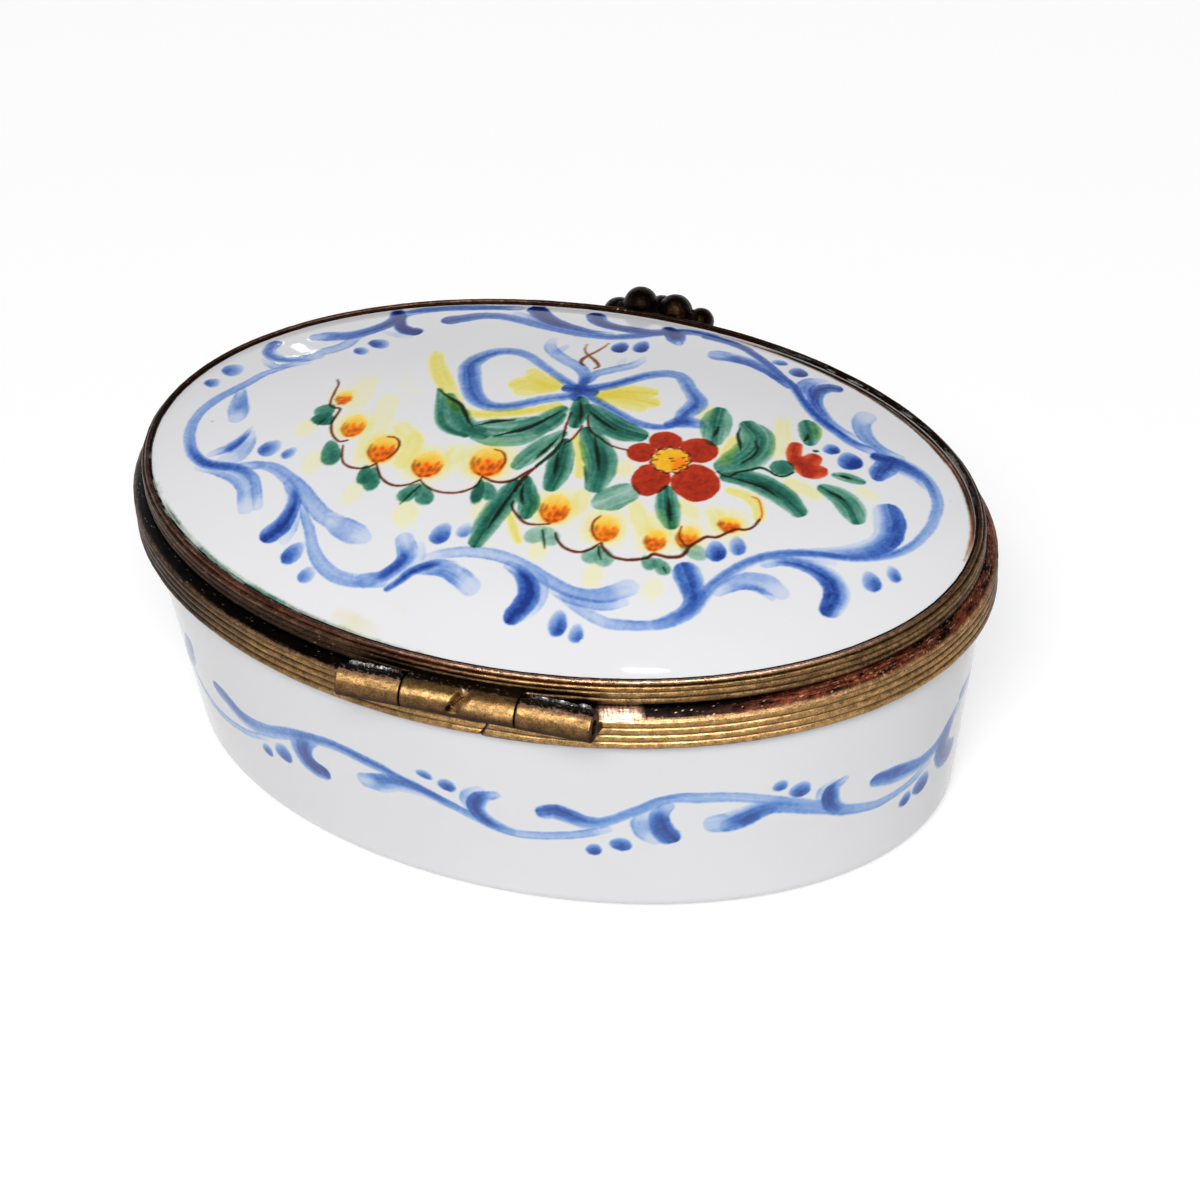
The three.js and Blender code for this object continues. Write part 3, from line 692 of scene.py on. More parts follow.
class Sheet:
    """A layer of enamel dots for each pigment, over a stretch of the glaze."""

    def __init__(self, left, low, width, height):
        self.left, self.low = left, low
        self.rows, self.columns = int(height * DOTS), int(width * DOTS)
        self.layers = {}
        self.seed = 1
        v, u = np.mgrid[0 : self.rows, 0 : self.columns] / DOTS
        self.wobble = octaves(u * 0.8, v * 0.8, 901, 2)
        self.grain = 0.5 * noise2(u * 3.1, v * 3.1, 911) + 0.5 * noise2(u * 7.3, v * 7.3, 912)

    def draw(self, pigment, widths, loads, points, side=0.0, wet=0.16, streak=0.14,
             fades=(0.0, 0.0)):
        """One brush stroke. Widths and loads run along it. A thin stroke is darker at its edges
        and a full one in its core, which side moves to the left or right. Fades thin its ends."""
        self.seed += 1
        line, along = spline(points)
        half = np.interp(along, np.linspace(0, 1, len(widths)), widths) / 2
        load = np.interp(along, np.linspace(0, 1, len(loads)), loads)
        done = np.cumsum(np.r_[0, np.hypot(*np.diff(line, axis=0).T)])
        for fade, from_end in zip(fades, (done, done[-1] - done)):
            load = load * (1 - fade * (1 - smooth(from_end, 0, FADE_REACH)))
        at = (line - (self.left, self.low)) * DOTS
        reach = (half.max() + wet) * DOTS + 3
        c0, r0 = np.maximum(np.floor(at.min(0) - reach).astype(int), 0)
        c1, r1 = np.ceil(at.max(0) + reach).astype(int)
        c1, r1 = min(c1, self.columns), min(r1, self.rows)
        if c1 <= c0 or r1 <= r0:
            return
        best = np.full((r1 - r0, c1 - c0), 9.0)
        found = np.zeros((3, *best.shape))  # place across, place along, radius
        for k in range(len(at) - 1):
            a, b = at[k] - (c0, r0), at[k + 1] - (c0, r0)
            near = (max(half[k], half[k + 1]) + wet) * DOTS * 1.15 + 2
            x0, y0 = np.maximum(np.floor(np.minimum(a, b) - near).astype(int), 0)
            x1, y1 = np.ceil(np.maximum(a, b) + near).astype(int) + 1
            window = (slice(y0, max(y0, y1)), slice(x0, max(x0, x1)))
            old = best[window]
            if not old.size:
                continue
            y, x = np.ogrid[y0 : y0 + old.shape[0], x0 : x0 + old.shape[1]]
            d = b - a
            length = max(np.hypot(*d), 1e-6)
            share = np.clip(((x - a[0]) * d[0] + (y - a[1]) * d[1]) / length**2, 0, 1)
            dx, dy = x - a[0] - share * d[0], y - a[1] - share * d[1]
            radius = (half[k] * (1 - share) + half[k + 1] * share) * DOTS
            score = np.hypot(dx, dy) / radius
            better = score < old
            old[better] = score[better]
            cross = (d[0] * dy - d[1] * dx) / length / radius
            for layer, value in zip(found, (cross, k + share, radius / DOTS)):
                value = np.broadcast_to(value, old.shape)
                layer[window][better] = value[better]
        across, place, radius = np.clip(found[0], -1, 1), found[1], np.maximum(found[2], 0.02)
        whole = (slice(r0, r1), slice(c0, c1))
        grain = self.grain[whole]
        edge = (1 + 0.09 * self.wobble[whole] - best) * radius + 0.03 * grain + wet / 2
        dose = np.interp(place, np.arange(len(load)), load)
        bristle = noise2(across * radius * 6 + self.seed * 7.3, place * 0.04, self.seed)
        full = smooth(dose, 0.38, 0.66)
        core = 1.08 - 0.6 * np.minimum(np.abs(across - side), 1.2) ** 1.5
        rims = 1 + 0.4 * (across**2 - 0.35) + 0.3 * side * across
        dose = dose * (full * core + (1 - full) * rims)
        dose = np.clip(dose * smooth(edge, 0, wet) * (1 + streak * bristle + GRAIN * grain), 0, 1)
        self.lay(pigment, whole, dose)

    def touch(self, pigment, x, y, width, height, load, lean=0.0, core=(0.0, 0.0), pale=0.45,
              egg=0.2, wet=0.16):
        """One press of the brush: an egg, palest away from its core."""
        self.seed += 1
        reach = max(width, height) / 2 + 2 * wet
        c0, r0 = (max(0, int((v - reach) * DOTS)) for v in (x - self.left, y - self.low))
        window = (slice(r0, min(self.rows, int(r0 + 2 * reach * DOTS))),
                  slice(c0, min(self.columns, int(c0 + 2 * reach * DOTS))))
        grain, wobble = self.grain[window], self.wobble[window]
        v, u = np.mgrid[0 : grain.shape[0], 0 : grain.shape[1]].astype(float)
        v, u = (v + r0) / DOTS + self.low - y, (u + c0) / DOTS + self.left - x
        u, v = (u * math.cos(lean) + v * math.sin(lean)) / width * 2, (
            v * math.cos(lean) - u * math.sin(lean)) / height * 2
        away = np.hypot(u / (1 - egg * np.clip(v, -1, 1)), v)
        edge = (1 + 0.08 * wobble - away) * min(width, height) / 2 + 0.03 * grain + wet / 2
        dose = load * smooth(edge, 0, wet)
        dose = dose * (1.08 - pale * np.hypot(u - core[0], v - core[1]) ** 1.3)
        self.lay(pigment, window, np.clip(dose * (1 + GRAIN * grain), 0, 1))

    def lay(self, pigment, window, dose):
        layer = self.layers.setdefault(pigment, np.zeros((self.rows, self.columns)))
        below = layer[window]
        more = OVERLAP * np.minimum(below, dose) * (1 - np.maximum(below, dose))
        layer[window] = np.maximum(below, dose) + more

    def blot(self, middle, radius):
        """A round patch, 1 inside and 0 outside, for lifting paint."""
        y, x = np.mgrid[0 : self.rows, 0 : self.columns] / DOTS
        away = np.hypot(x + self.left - middle[0], y + self.low - middle[1])
        return 1 - smooth(away, radius - 0.1, radius + 0.05)

    def picture(self):
        """Colour over the whole sheet, and how thick the enamel lies."""
        colour = np.ones((self.rows, self.columns, 3))
        coat = np.zeros((self.rows, self.columns))
        for pigment, dose in self.layers.items():
            ramp = np.array([PAPER, *(np.array(PIGMENTS[pigment]) / 255)]) / PAPER
            for k in range(3):
                colour[..., k] *= np.interp(dose, np.linspace(0, 1, 5), ramp[:, k])
            coat = np.maximum(coat, dose * THIN.get(pigment, 1.0))
        return colour, coat

    def read(self, values, x, y):
        """Values at places in millimetres, blended between the dots."""
        u = np.clip((x - self.left) * DOTS, 0, self.columns - 1.001)
        v = np.clip((y - self.low) * DOTS, 0, self.rows - 1.001)
        i, j = v.astype(int), u.astype(int)
        a, b = v - i, u - j
        if values.ndim == 3:
            a, b = a[:, None], b[:, None]
        return ((values[i, j] * (1 - b) + values[i, j + 1] * b) * (1 - a)
                + (values[i + 1, j] * (1 - b) + values[i + 1, j + 1] * b) * a)


def thin_ends(loads):
    """How much a blue stroke fades at its start and end: thin ends were dragged out dry."""
    return [FADE if end < limit else 0.0 for end, limit in ((loads[0], 0.62), (loads[-1], 0.65))]


def linear(colour):
    """A colour as written, from 0 to 1, in the renderer's linear light."""
    return np.where(colour < 0.04045, colour / 12.92, ((colour + 0.055) / 1.055) ** 2.4)


# Painting of the lid
FAR_SIDE = 12.5  # past here the blue is painted darker: painted shade on the dome's far side


def dot(sheet, x, y, width, height, load):
    """A blue dot that leans towards the middle, darkest at its foot."""
    # past the far side a dot takes the darker blue, as painted shade
    sheet.touch("navy" if y > FAR_SIDE else "blue", x, y, width, height, load * 1.1,
                max(-0.55, min(0.55, x / 40)), (0.3 if x > -12 else -0.3, -0.5))


def leaf(sheet, points, width, load, vein):
    load += 0.08
    sheet.draw("green", [width * 0.62, width, width * 1.14, width * 1.06, width * 0.74],
               [load, load * 0.95, load * 1.05, load, load * 0.95], points, 0, 0.14, 0.22)
    sheet.draw("vein", [0.12, 0.3, 0.36, 0.12], [0.7, 0.95, 0.9, 0.6], vein)


# Strokes on a bud: pigment, load, and places as shares of its half-width and half-height
BUD_STROKES = [
    ("brown", .6, [(-.9, .15), (-.85, -.3), (-.5, -.75)]),
    ("brown", .75, [(-.4, -.8), (.05, -.95)]), ("brown", .65, [(.15, -.9), (.55, -.7)]),
    ("brown", .5, [(.75, -.6), (.95, .1)]), ("brown", .6, [(-.6, .1), (-.55, -.35)]),
    ("brown", .5, [(-.2, -.35), (-.15, -.65)]), ("red", .5, [(-.1, .15), (0, -.2)]),
    ("brown", .55, [(.3, -.1), (.2, -.55)]), ("red", .5, [(.65, .3), (.6, -.1)]),
    ("brown", .5, [(.6, -.15), (.45, -.5)]),
]


def bud(sheet, x, y, width, height, hot=0.8, lean=0.0):
    """A rounded bud: gold, with brown-red streaks from below."""
    width, height = width * 1.08, height * 1.16
    h, w = height / 2, width / 2
    sheet.draw("yellow", [width * 1.6], [0.34], [(x - 0.1, y + 0.3), (x, y - 0.2)], wet=1.1)
    sheet.touch("gold", x, y, width * 1.08, height, 0.72, lean * 0.4, (0.1, -0.6), 0.4, 0, 0.2)
    sheet.touch("orange", x + w * 0.1, y - h * 0.4, width * 0.84, height * 0.56, hot * 0.45,
                lean * 0.4, (0.2, -0.6), 0.3, 0, 0.55)
    for pigment, load, places in BUD_STROKES:
        sheet.draw(pigment, [0.14, 0.32, 0.16], [hot * load * 0.7, hot * load, hot * load * 0.6],
                   [(x + w * u, y + h * v) for u, v in places], wet=0.24)


# Blue strokes of the lid's border: widths, loads, side, and places in millimetres
LID_BORDER = [
    # left end
    ([.5, .9, 1, .95, 1, 1, .9, .8], [.35, .45, .5, .5, .55, .8, .75, .5, .4], .1, [(-22.7, 7),
     (-24, 6.2), (-25.2, 5.2), (-26, 4), (-26.8, 3), (-27.7, 1.8), (-28.3, .5), (-28.5, -.8),
     (-28.3, -2.2), (-27.8, -3.5), (-27, -4.7), (-25.8, -5.6), (-24.5, -5.9), (-23, -6),
     (-22, -6.4), (-21, -7.2), (-20.3, -8.6), (-19.8, -9.7)]),
    ([.7, 1.3, 1.5, 1.6, 1.3], [.36, .4, .4, .42, .4], -.5, [(-26, -6.1), (-24, -6.4), (-22.4, -7),
     (-21.4, -7.9), (-20.9, -9), (-20.6, -9.9)]),
    ([.5, 1.2, 1.8, 1.4], [.4, .5, .6, .55], .2, [(-26.4, 3.5), (-26, 2.4), (-25.7, 1.3),
     (-25.3, .3), (-25.1, -.4)]),
    ([.3, .8, 1.1, .6], [.6, .85, .75, .4], .2, [(-23.5, -1.6), (-23.7, -2.7), (-24.3, -3.8),
     (-25.6, -4.7)]),
    ([.5, 1.3, 1.7, 1.2], [.42, .42, .4, .35], 0, [(-23.2, -2.1), (-23.1, -3.4), (-23.4, -4.6),
     (-24.2, -5.3)]),
    ([.8, 1, 1.2, 1.3, 1.4, 1.5], [.6, .5, .5, .45, .4, .42], .15, [(-22.6, -5.8), (-21, -5.6),
     (-19.8, -5.9), (-18.5, -6.7), (-17, -7.8), (-15.5, -9.2), (-14.5, -10), (-13.3, -10.5)]),
    ([1.2, 1.9, 2, 1.1], [.42, .42, .4, .45], -.3, [(-13.9, -10.4), (-12.7, -10.9), (-11.6, -11.3),
     (-10.7, -11.6)]),
    ([.8, 1.1, 1.3, 1.7, 1.8], [.6, .7, .9, 1, .95], .1, [(-18.3, -7.2), (-17.3, -8.6),
     (-17.1, -10), (-17.3, -11.3), (-17.8, -12.1)]),
    ([.6, .9, .8], [.3, .35, .25], 0, [(-16.6, -9.5), (-16.4, -11.5), (-16.6, -12.6)]),
    ([.6, .8, 1, 1.2, 1.2, 1.1], [.5, .45, .4, .45, .55, .6], -.3, [(-16.5, -9), (-15.8, -10.3),
     (-15, -11.5), (-14.2, -13), (-13.2, -14.2), (-12, -15), (-10.8, -15.3), (-9.5, -15.3),
     (-8.2, -15.1)]),
    # upper left
    ([1.2, 1.3, 1.4, 1.5, 1.6, 1.3], [.8, .75, .65, .5, .45, .5], 0, [(-18.3, 16), (-18, 15),
     (-18.2, 14), (-18.8, 13), (-19.8, 12), (-21, 11.4), (-22.5, 11.2), (-23.2, 11)]),
    ([.6, 1, 1.3, 1.4], [.8, .85, .85, .8], 0, [(-17.6, 15.3), (-17.4, 14.2), (-17, 13.4),
     (-16.3, 12.9), (-15.7, 12.8)]),
    ([.5, .7, .5], [.25, .3, .2], 0, [(-18, 12.4), (-16.8, 12), (-15.7, 11.8)]),
    ([.8, 1.2, 1.2, 1], [.35, .4, .4, .35], 0, [(-19.5, 12), (-20, 11), (-20.3, 10), (-21, 9.2),
     (-21.8, 8.7), (-22.5, 7.8)]),
    ([1.3, 1.1, 1, 1.1, 1.2], [.8, .75, .7, .6, .5], 0, [(-26.2, 9.7), (-26.2, 8.6), (-25.3, 7.7),
     (-24.2, 7.4), (-23, 7.6), (-21.9, 8.2)]),
    ([.6, .8, .8, .6], [.3, .4, .4, .3], 0, [(-26, 7.3), (-25.3, 6.7), (-24.5, 6.3), (-23.5, 6.6),
     (-22.3, 7.1)]),
    ([1, 1.2, 1.1, 1, .9], [.5, .42, .38, .4, .45], 0, [(-17.9, 15.4), (-17, 16.4), (-15.5, 17.2),
     (-13.5, 17.9), (-11.5, 18.4), (-9.3, 18.9)]),
    # top
    ([1.7, 1.4, 1.1, 1.1, 1.1, 1], [.65, .6, .45, .42, .5, .6], 0, [(-13.6, 15.4), (-12.8, 15.9),
     (-11.7, 16.6), (-10.3, 16.9), (-8.8, 16.7), (-7, 16.2), (-5, 15.8), (-3, 15.6), (-1, 15.8),
     (0, 16.2), (1, 16.8), (2.5, 18), (3.8, 18.9)]),
    ([1.7, 1.6, 1.2, .8, .6], [.95, .85, .7, .5, .4], 0, [(-7.8, 19), (-7, 18), (-6, 17.2),
     (-4.8, 16.7), (-3.5, 16.4), (-2, 16.2), (-1, 16.4)]),
    ([.9, 1.3, .9], [.3, .35, .3], 0, [(-9, 17.7), (-7, 17), (-5, 16.3)]),
    ([1.6, 1.3, 1.2, 1.1], [.85, .7, .55, .6], 0, [(-3.1, 19.2), (-2.6, 18.3), (-1.5, 17.8),
     (0, 17.7), (1.5, 17.8), (2.8, 18.4), (3.8, 19), (5, 19.3), (6.3, 19.2)]),
    ([1.3, 1.7, 1.5, .7], [.8, .85, .8, .6], 0, [(2.9, 18.9), (3.5, 18.2), (3.9, 17.4),
     (4.3, 16.7)]),
    # upper right
    ([1.1, .9, .9, .8, .9, .9], [.65, .6, .5, .5, .5, .45], .2, [(6, 19), (7.5, 18.8), (9, 18.3),
     (10, 17.6), (11, 16.8), (12, 15.9), (13, 14.9), (14, 14.1), (14.8, 13), (15.5, 12),
     (16.5, 10.8), (17.5, 9.9), (18.8, 9.1), (20.2, 8.3), (22, 7.9)]),
    ([1.7, 1.5, 1.2, 1.1], [.6, .55, .5, .6], -.25, [(7.7, 16.1), (8.5, 16.2), (10, 16.1),
     (11.5, 15.5), (12.8, 14.7), (14, 13.9)]),
    ([1.3, 1.5, 1.3, 1.1, .8, .6], [.95, .95, .85, .7, .55, .5], 0, [(17.1, 15.2), (16.6, 15),
     (16.1, 14.2), (16.1, 13.2), (16.5, 12), (17.3, 11), (18.2, 10.1), (19.5, 9.3), (20.5, 9)]),
    ([.6, 1.2, 1.3, .8], [.3, .4, .4, .3], 0, [(16, 16), (15.2, 15.3), (14.9, 14.3), (15.2, 13.2),
     (15.8, 12.3)]),
    ([1.6, 1.4, 1.1, .8], [.45, .5, .55, .5], 0, [(20.3, 12.2), (20.2, 11.3), (20.5, 10.3),
     (21.1, 9.4), (22, 8.7), (23, 8.3), (24, 8.1)]),
    # right end
    ([1.2, 1.1, .9, .8, .7, .7, .8, 1, 1, .9, .8], [.8, .6, .5, .5, .6, .7, .65, .6, .6, .5, .4],
     -.2, [(22.5, 7.5), (24.3, 7.6), (25.8, 7), (27, 5.8), (27.8, 4.2), (28, 2.5), (27.9, 1),
     (27.3, -1), (26.3, -2.4), (25, -3.4), (23.5, -4.1), (21, -4.7), (19.5, -5.2), (18, -6),
     (16.8, -7.1), (15.8, -8.5), (15, -10), (14.3, -12.2), (13.4, -13.4), (12.5, -14.1),
     (11, -14.7), (9, -15)]),
    ([1.8, 1.9, 1.7, 1.3], [.85, .85, .85, .8], 0, [(23.4, 7.1), (23.3, 6.4), (23.1, 5.7),
     (23.1, 5.2)]),
    ([1.2, 1.7, 1.6, 1.2, .9], [.8, .85, .8, .6, .5], .3, [(22.5, 7.3), (23.6, 7.1), (24.8, 6.9),
     (25.9, 6.4), (26.8, 5.6)]),
    ([2.2, 2.4, 2.1, 1.7, 1.2, .8, .7], [.68, .78, .8, .7, .6, .55, .5], .45, [(24.8, 1.4),
     (25.2, .5), (25.4, -.8), (25, -2), (24, -3), (22.5, -3.9), (21, -4.5), (19.3, -5.2)]),
    ([1, 1.1, 1.4, 1.8, 2, 1.7], [.6, .66, .75, .85, .9, .85], -.3, [(18, -6.7), (19, -6.1),
     (20.5, -5.9), (22, -6.2), (23.1, -7), (23.5, -8), (23.4, -9)]),
    ([.5, .6, .6, .5], [.3, .35, .35, .25], 0, [(17, -6.8), (18.5, -5.8), (20.5, -5.3),
     (22.5, -5)]),
    ([.9, 1.2, 1.6, 1.8, 1.1], [.5, .5, .45, .4, .45], -.35, [(15.5, -10.3), (16.3, -9.4),
     (17.3, -8.7), (18.6, -8.6), (19.8, -9)]),
    ([.4, .6, .5], [.6, .7, .5], 0, [(16.9, -9.4), (18, -9.2), (19.3, -9.6)]),
    ([2.1, 1.9, 1.6, 1.4, 1.2, 1], [.75, .8, .8, .68, .55, .42], -.1, [(12.9, -9.4), (13.5, -10.3),
     (14.1, -11.5), (13.9, -12.6), (13.2, -13.5), (12.3, -14.2)]),
    # bottom
    ([1.6, 1.5, 1.2, 1, .9], [.4, .42, .4, .4, .4], 0, [(9.3, -11.9), (8.5, -12.5), (7.5, -13),
     (6, -13.2), (4.5, -13)]),
    ([1.4, 1.6, 1.5, 1.3, 1.2, 1.1], [.6, .65, .75, .8, .7, .6], -.3, [(-7.7, -11.3),
     (-7.2, -12.1), (-7, -12.9), (-7.4, -13.8), (-8.3, -14.8), (-9.5, -15.2)]),
    ([.6, .9, .6], [.25, .3, .25], 0, [(-6.4, -11.5), (-6.1, -12.5), (-6.3, -13.4)]),
    ([.6, .8, .9, .7], [.7, .85, .8, .5], 0, [(-7.5, -15.6), (-6.9, -14.9), (-6.3, -14),
     (-5.5, -13.4), (-4.6, -12.9), (-3.5, -12.8)]),
    ([.9, 1.4, 1.7, 1.6], [.55, .55, .5, .5], -.4, [(-5.7, -13.6), (-4, -13.3), (-2.6, -13.8),
     (-1.7, -14.4)]),
    ([.8, 1, 1.1, 1.1, 1, 1], [.35, .35, .38, .42, .4, .36], -.1, [(-5.6, -12.6), (-4.5, -12),
     (-3, -11.5), (-1.2, -11.3), (.5, -11.5), (2, -12), (3.5, -12.6), (5, -13.1), (6.5, -13.3),
     (8, -13), (9.3, -12.1)]),
    ([.8, 1.2, 1.7, 1.8, 1.6, 1.3], [.6, .85, 1, 1, 1, .95], -.05, [(.5, -12), (1.4, -12.4),
     (2.3, -13.2), (2.7, -14.2), (2.5, -15.2), (2.2, -15.9), (2.1, -16.2)]),
    ([.8, 1.5, 1.6, 1.2, .6], [.3, .36, .34, .3, .2], 0, [(1.6, -12), (2.8, -12.9), (3.3, -14),
     (3.2, -15.2), (2.9, -16)]),
    ([.7, .8, .8, .6], [.4, .42, .42, .4], 0, [(4, -13.3), (5.5, -13.8), (7, -13.9), (8.5, -13.7),
     (9.5, -13.1)]),
    ([.6, .8, .9, .8], [.36, .36, .34, .4], .2, [(5, -13.8), (6.3, -14.4), (7.5, -14.8),
     (9, -15.1), (11, -14.7)]),
]

# Blue dots of the border: place, width, height, load
LID_DOTS = [
    (-17.7, 10.5, 1.9, 1.4, .8), (-18.7, 9.2, 1.4, 1.1, .7), (-28, 5.8, 2, 1.6, .65),
    (-29, 4, 1.5, 1.1, .7), (-21.1, -3.7, 1.6, 2, .65), (-19.4, -4.1, 1, 1.4, .6),
    (.4, 14.4, 1.3, 1.9, .9), (1.9, 15.1, 1.2, 2.1, .85), (12.2, 17.2, 1.2, 1, .7),
    (13.9, 16.3, 1.4, 1.6, .9), (19.1, 6.8, 1.3, 1.3, .85), (20.7, 6, 1.9, 2.1, 1),
    (-15.5, -13.6, 1.5, 2.2, .75), (-13.8, -15.3, 1.3, 1.5, .55), (-5.3, -10.2, 1.5, 2.1, .75),
    (-3.7, -9.6, 1.1, 1.5, .5), (5.4, -15.9, 1.4, 2.2, .75), (6.9, -16.4, 1.1, 1.6, .65),
    (14.3, -6.8, 1.5, 2, .85), (15.6, -5.8, 1.2, 1.9, .65), (25.4, -5.6, 1.4, 2, .7),
    (26.7, -4.3, 1, 1.6, .65),
]

# Ribbon bow
LID_BOW = [
    ([1.1, .9, .9, 1.1, 1.5, 1.8, 1.6, 1.2, 1.1, 1, 1.1], [.75, .6, .55, .6, .7, .75, .7, .65, .6,
     .55, .7], 0, [(-.8, 7.6), (-1.5, 8), (-3, 9), (-4.5, 10.1), (-5.8, 11), (-7, 11.3),
     (-8.3, 10.9), (-9.2, 9.8), (-9.6, 8.6), (-9.2, 7.3), (-8.4, 5.5), (-7.7, 4.5), (-6.8, 3.9),
     (-5.7, 3.8), (-4.6, 4.2), (-3.6, 4.9), (-2.5, 5.7), (-1.3, 6.3), (-.5, 6.9)]),
    ([1.1, 1.1, 1.1, 1.3, 1.7, 1.3], [.75, .65, .55, .6, .7, .65], 0, [(.3, 7.9), (1.5, 8.7),
     (2.6, 9.8), (3.8, 11), (5, 11.7), (6, 11.7), (6.7, 11), (7.2, 10.2), (7.8, 9.5), (8.3, 8.7),
     (8.2, 7.8), (7.9, 7), (7.8, 6.4)]),
    ([.8, .9, .9, .8, .7, .5], [.75, .65, .6, .65, .65, .5], 0, [(.3, 7), (1.5, 6.3), (3, 5.5),
     (4.5, 4.8), (6, 4.6), (7.2, 5), (8, 5.8), (9.4, 6)]),
    ([1, 1.6, 1.3, .5], [.7, .85, .75, .5], 0, [(7.2, 5.3), (8, 5.9), (8.8, 6), (9.7, 5.9)]),
    ([.9, 1.1, 1.2, 1.1, .9, .5], [.7, .5, .4, .38, .35, .25], 0, [(-.6, 8.6), (-.8, 9.5),
     (-1.5, 10.4), (-2.6, 11), (-3.8, 11.8), (-4.6, 12.7), (-4.8, 13.6), (-4.7, 14.1)]),
    ([.7, .6, .3], [.35, .32, .25], 0, [(-3.9, 12), (-3.6, 12.8), (-3.5, 13.3)]),
    ([.8, .9, .9, .8, .5], [.65, .45, .38, .35, .3], 0, [(-.3, 8.8), (0, 9.9), (.7, 10.6),
     (1.5, 11.3), (2.2, 12), (2.6, 12.9), (2.6, 13.3)]),
    ([.6, .5, .3], [.35, .3, .2], 0, [(1.3, 11.6), (1.3, 12.3), (1.3, 12.8)]),
    ([1.1, 1.5, 1.2], [.85, .95, .85], 0, [(-1.4, 7.4), (-.6, 7.5), (.4, 7.5)]),
    ([.9, 1.1, .7], [.75, .85, .7], 0, [(-.5, 6.4), (-.5, 7.6), (-.5, 8.9)]),
]


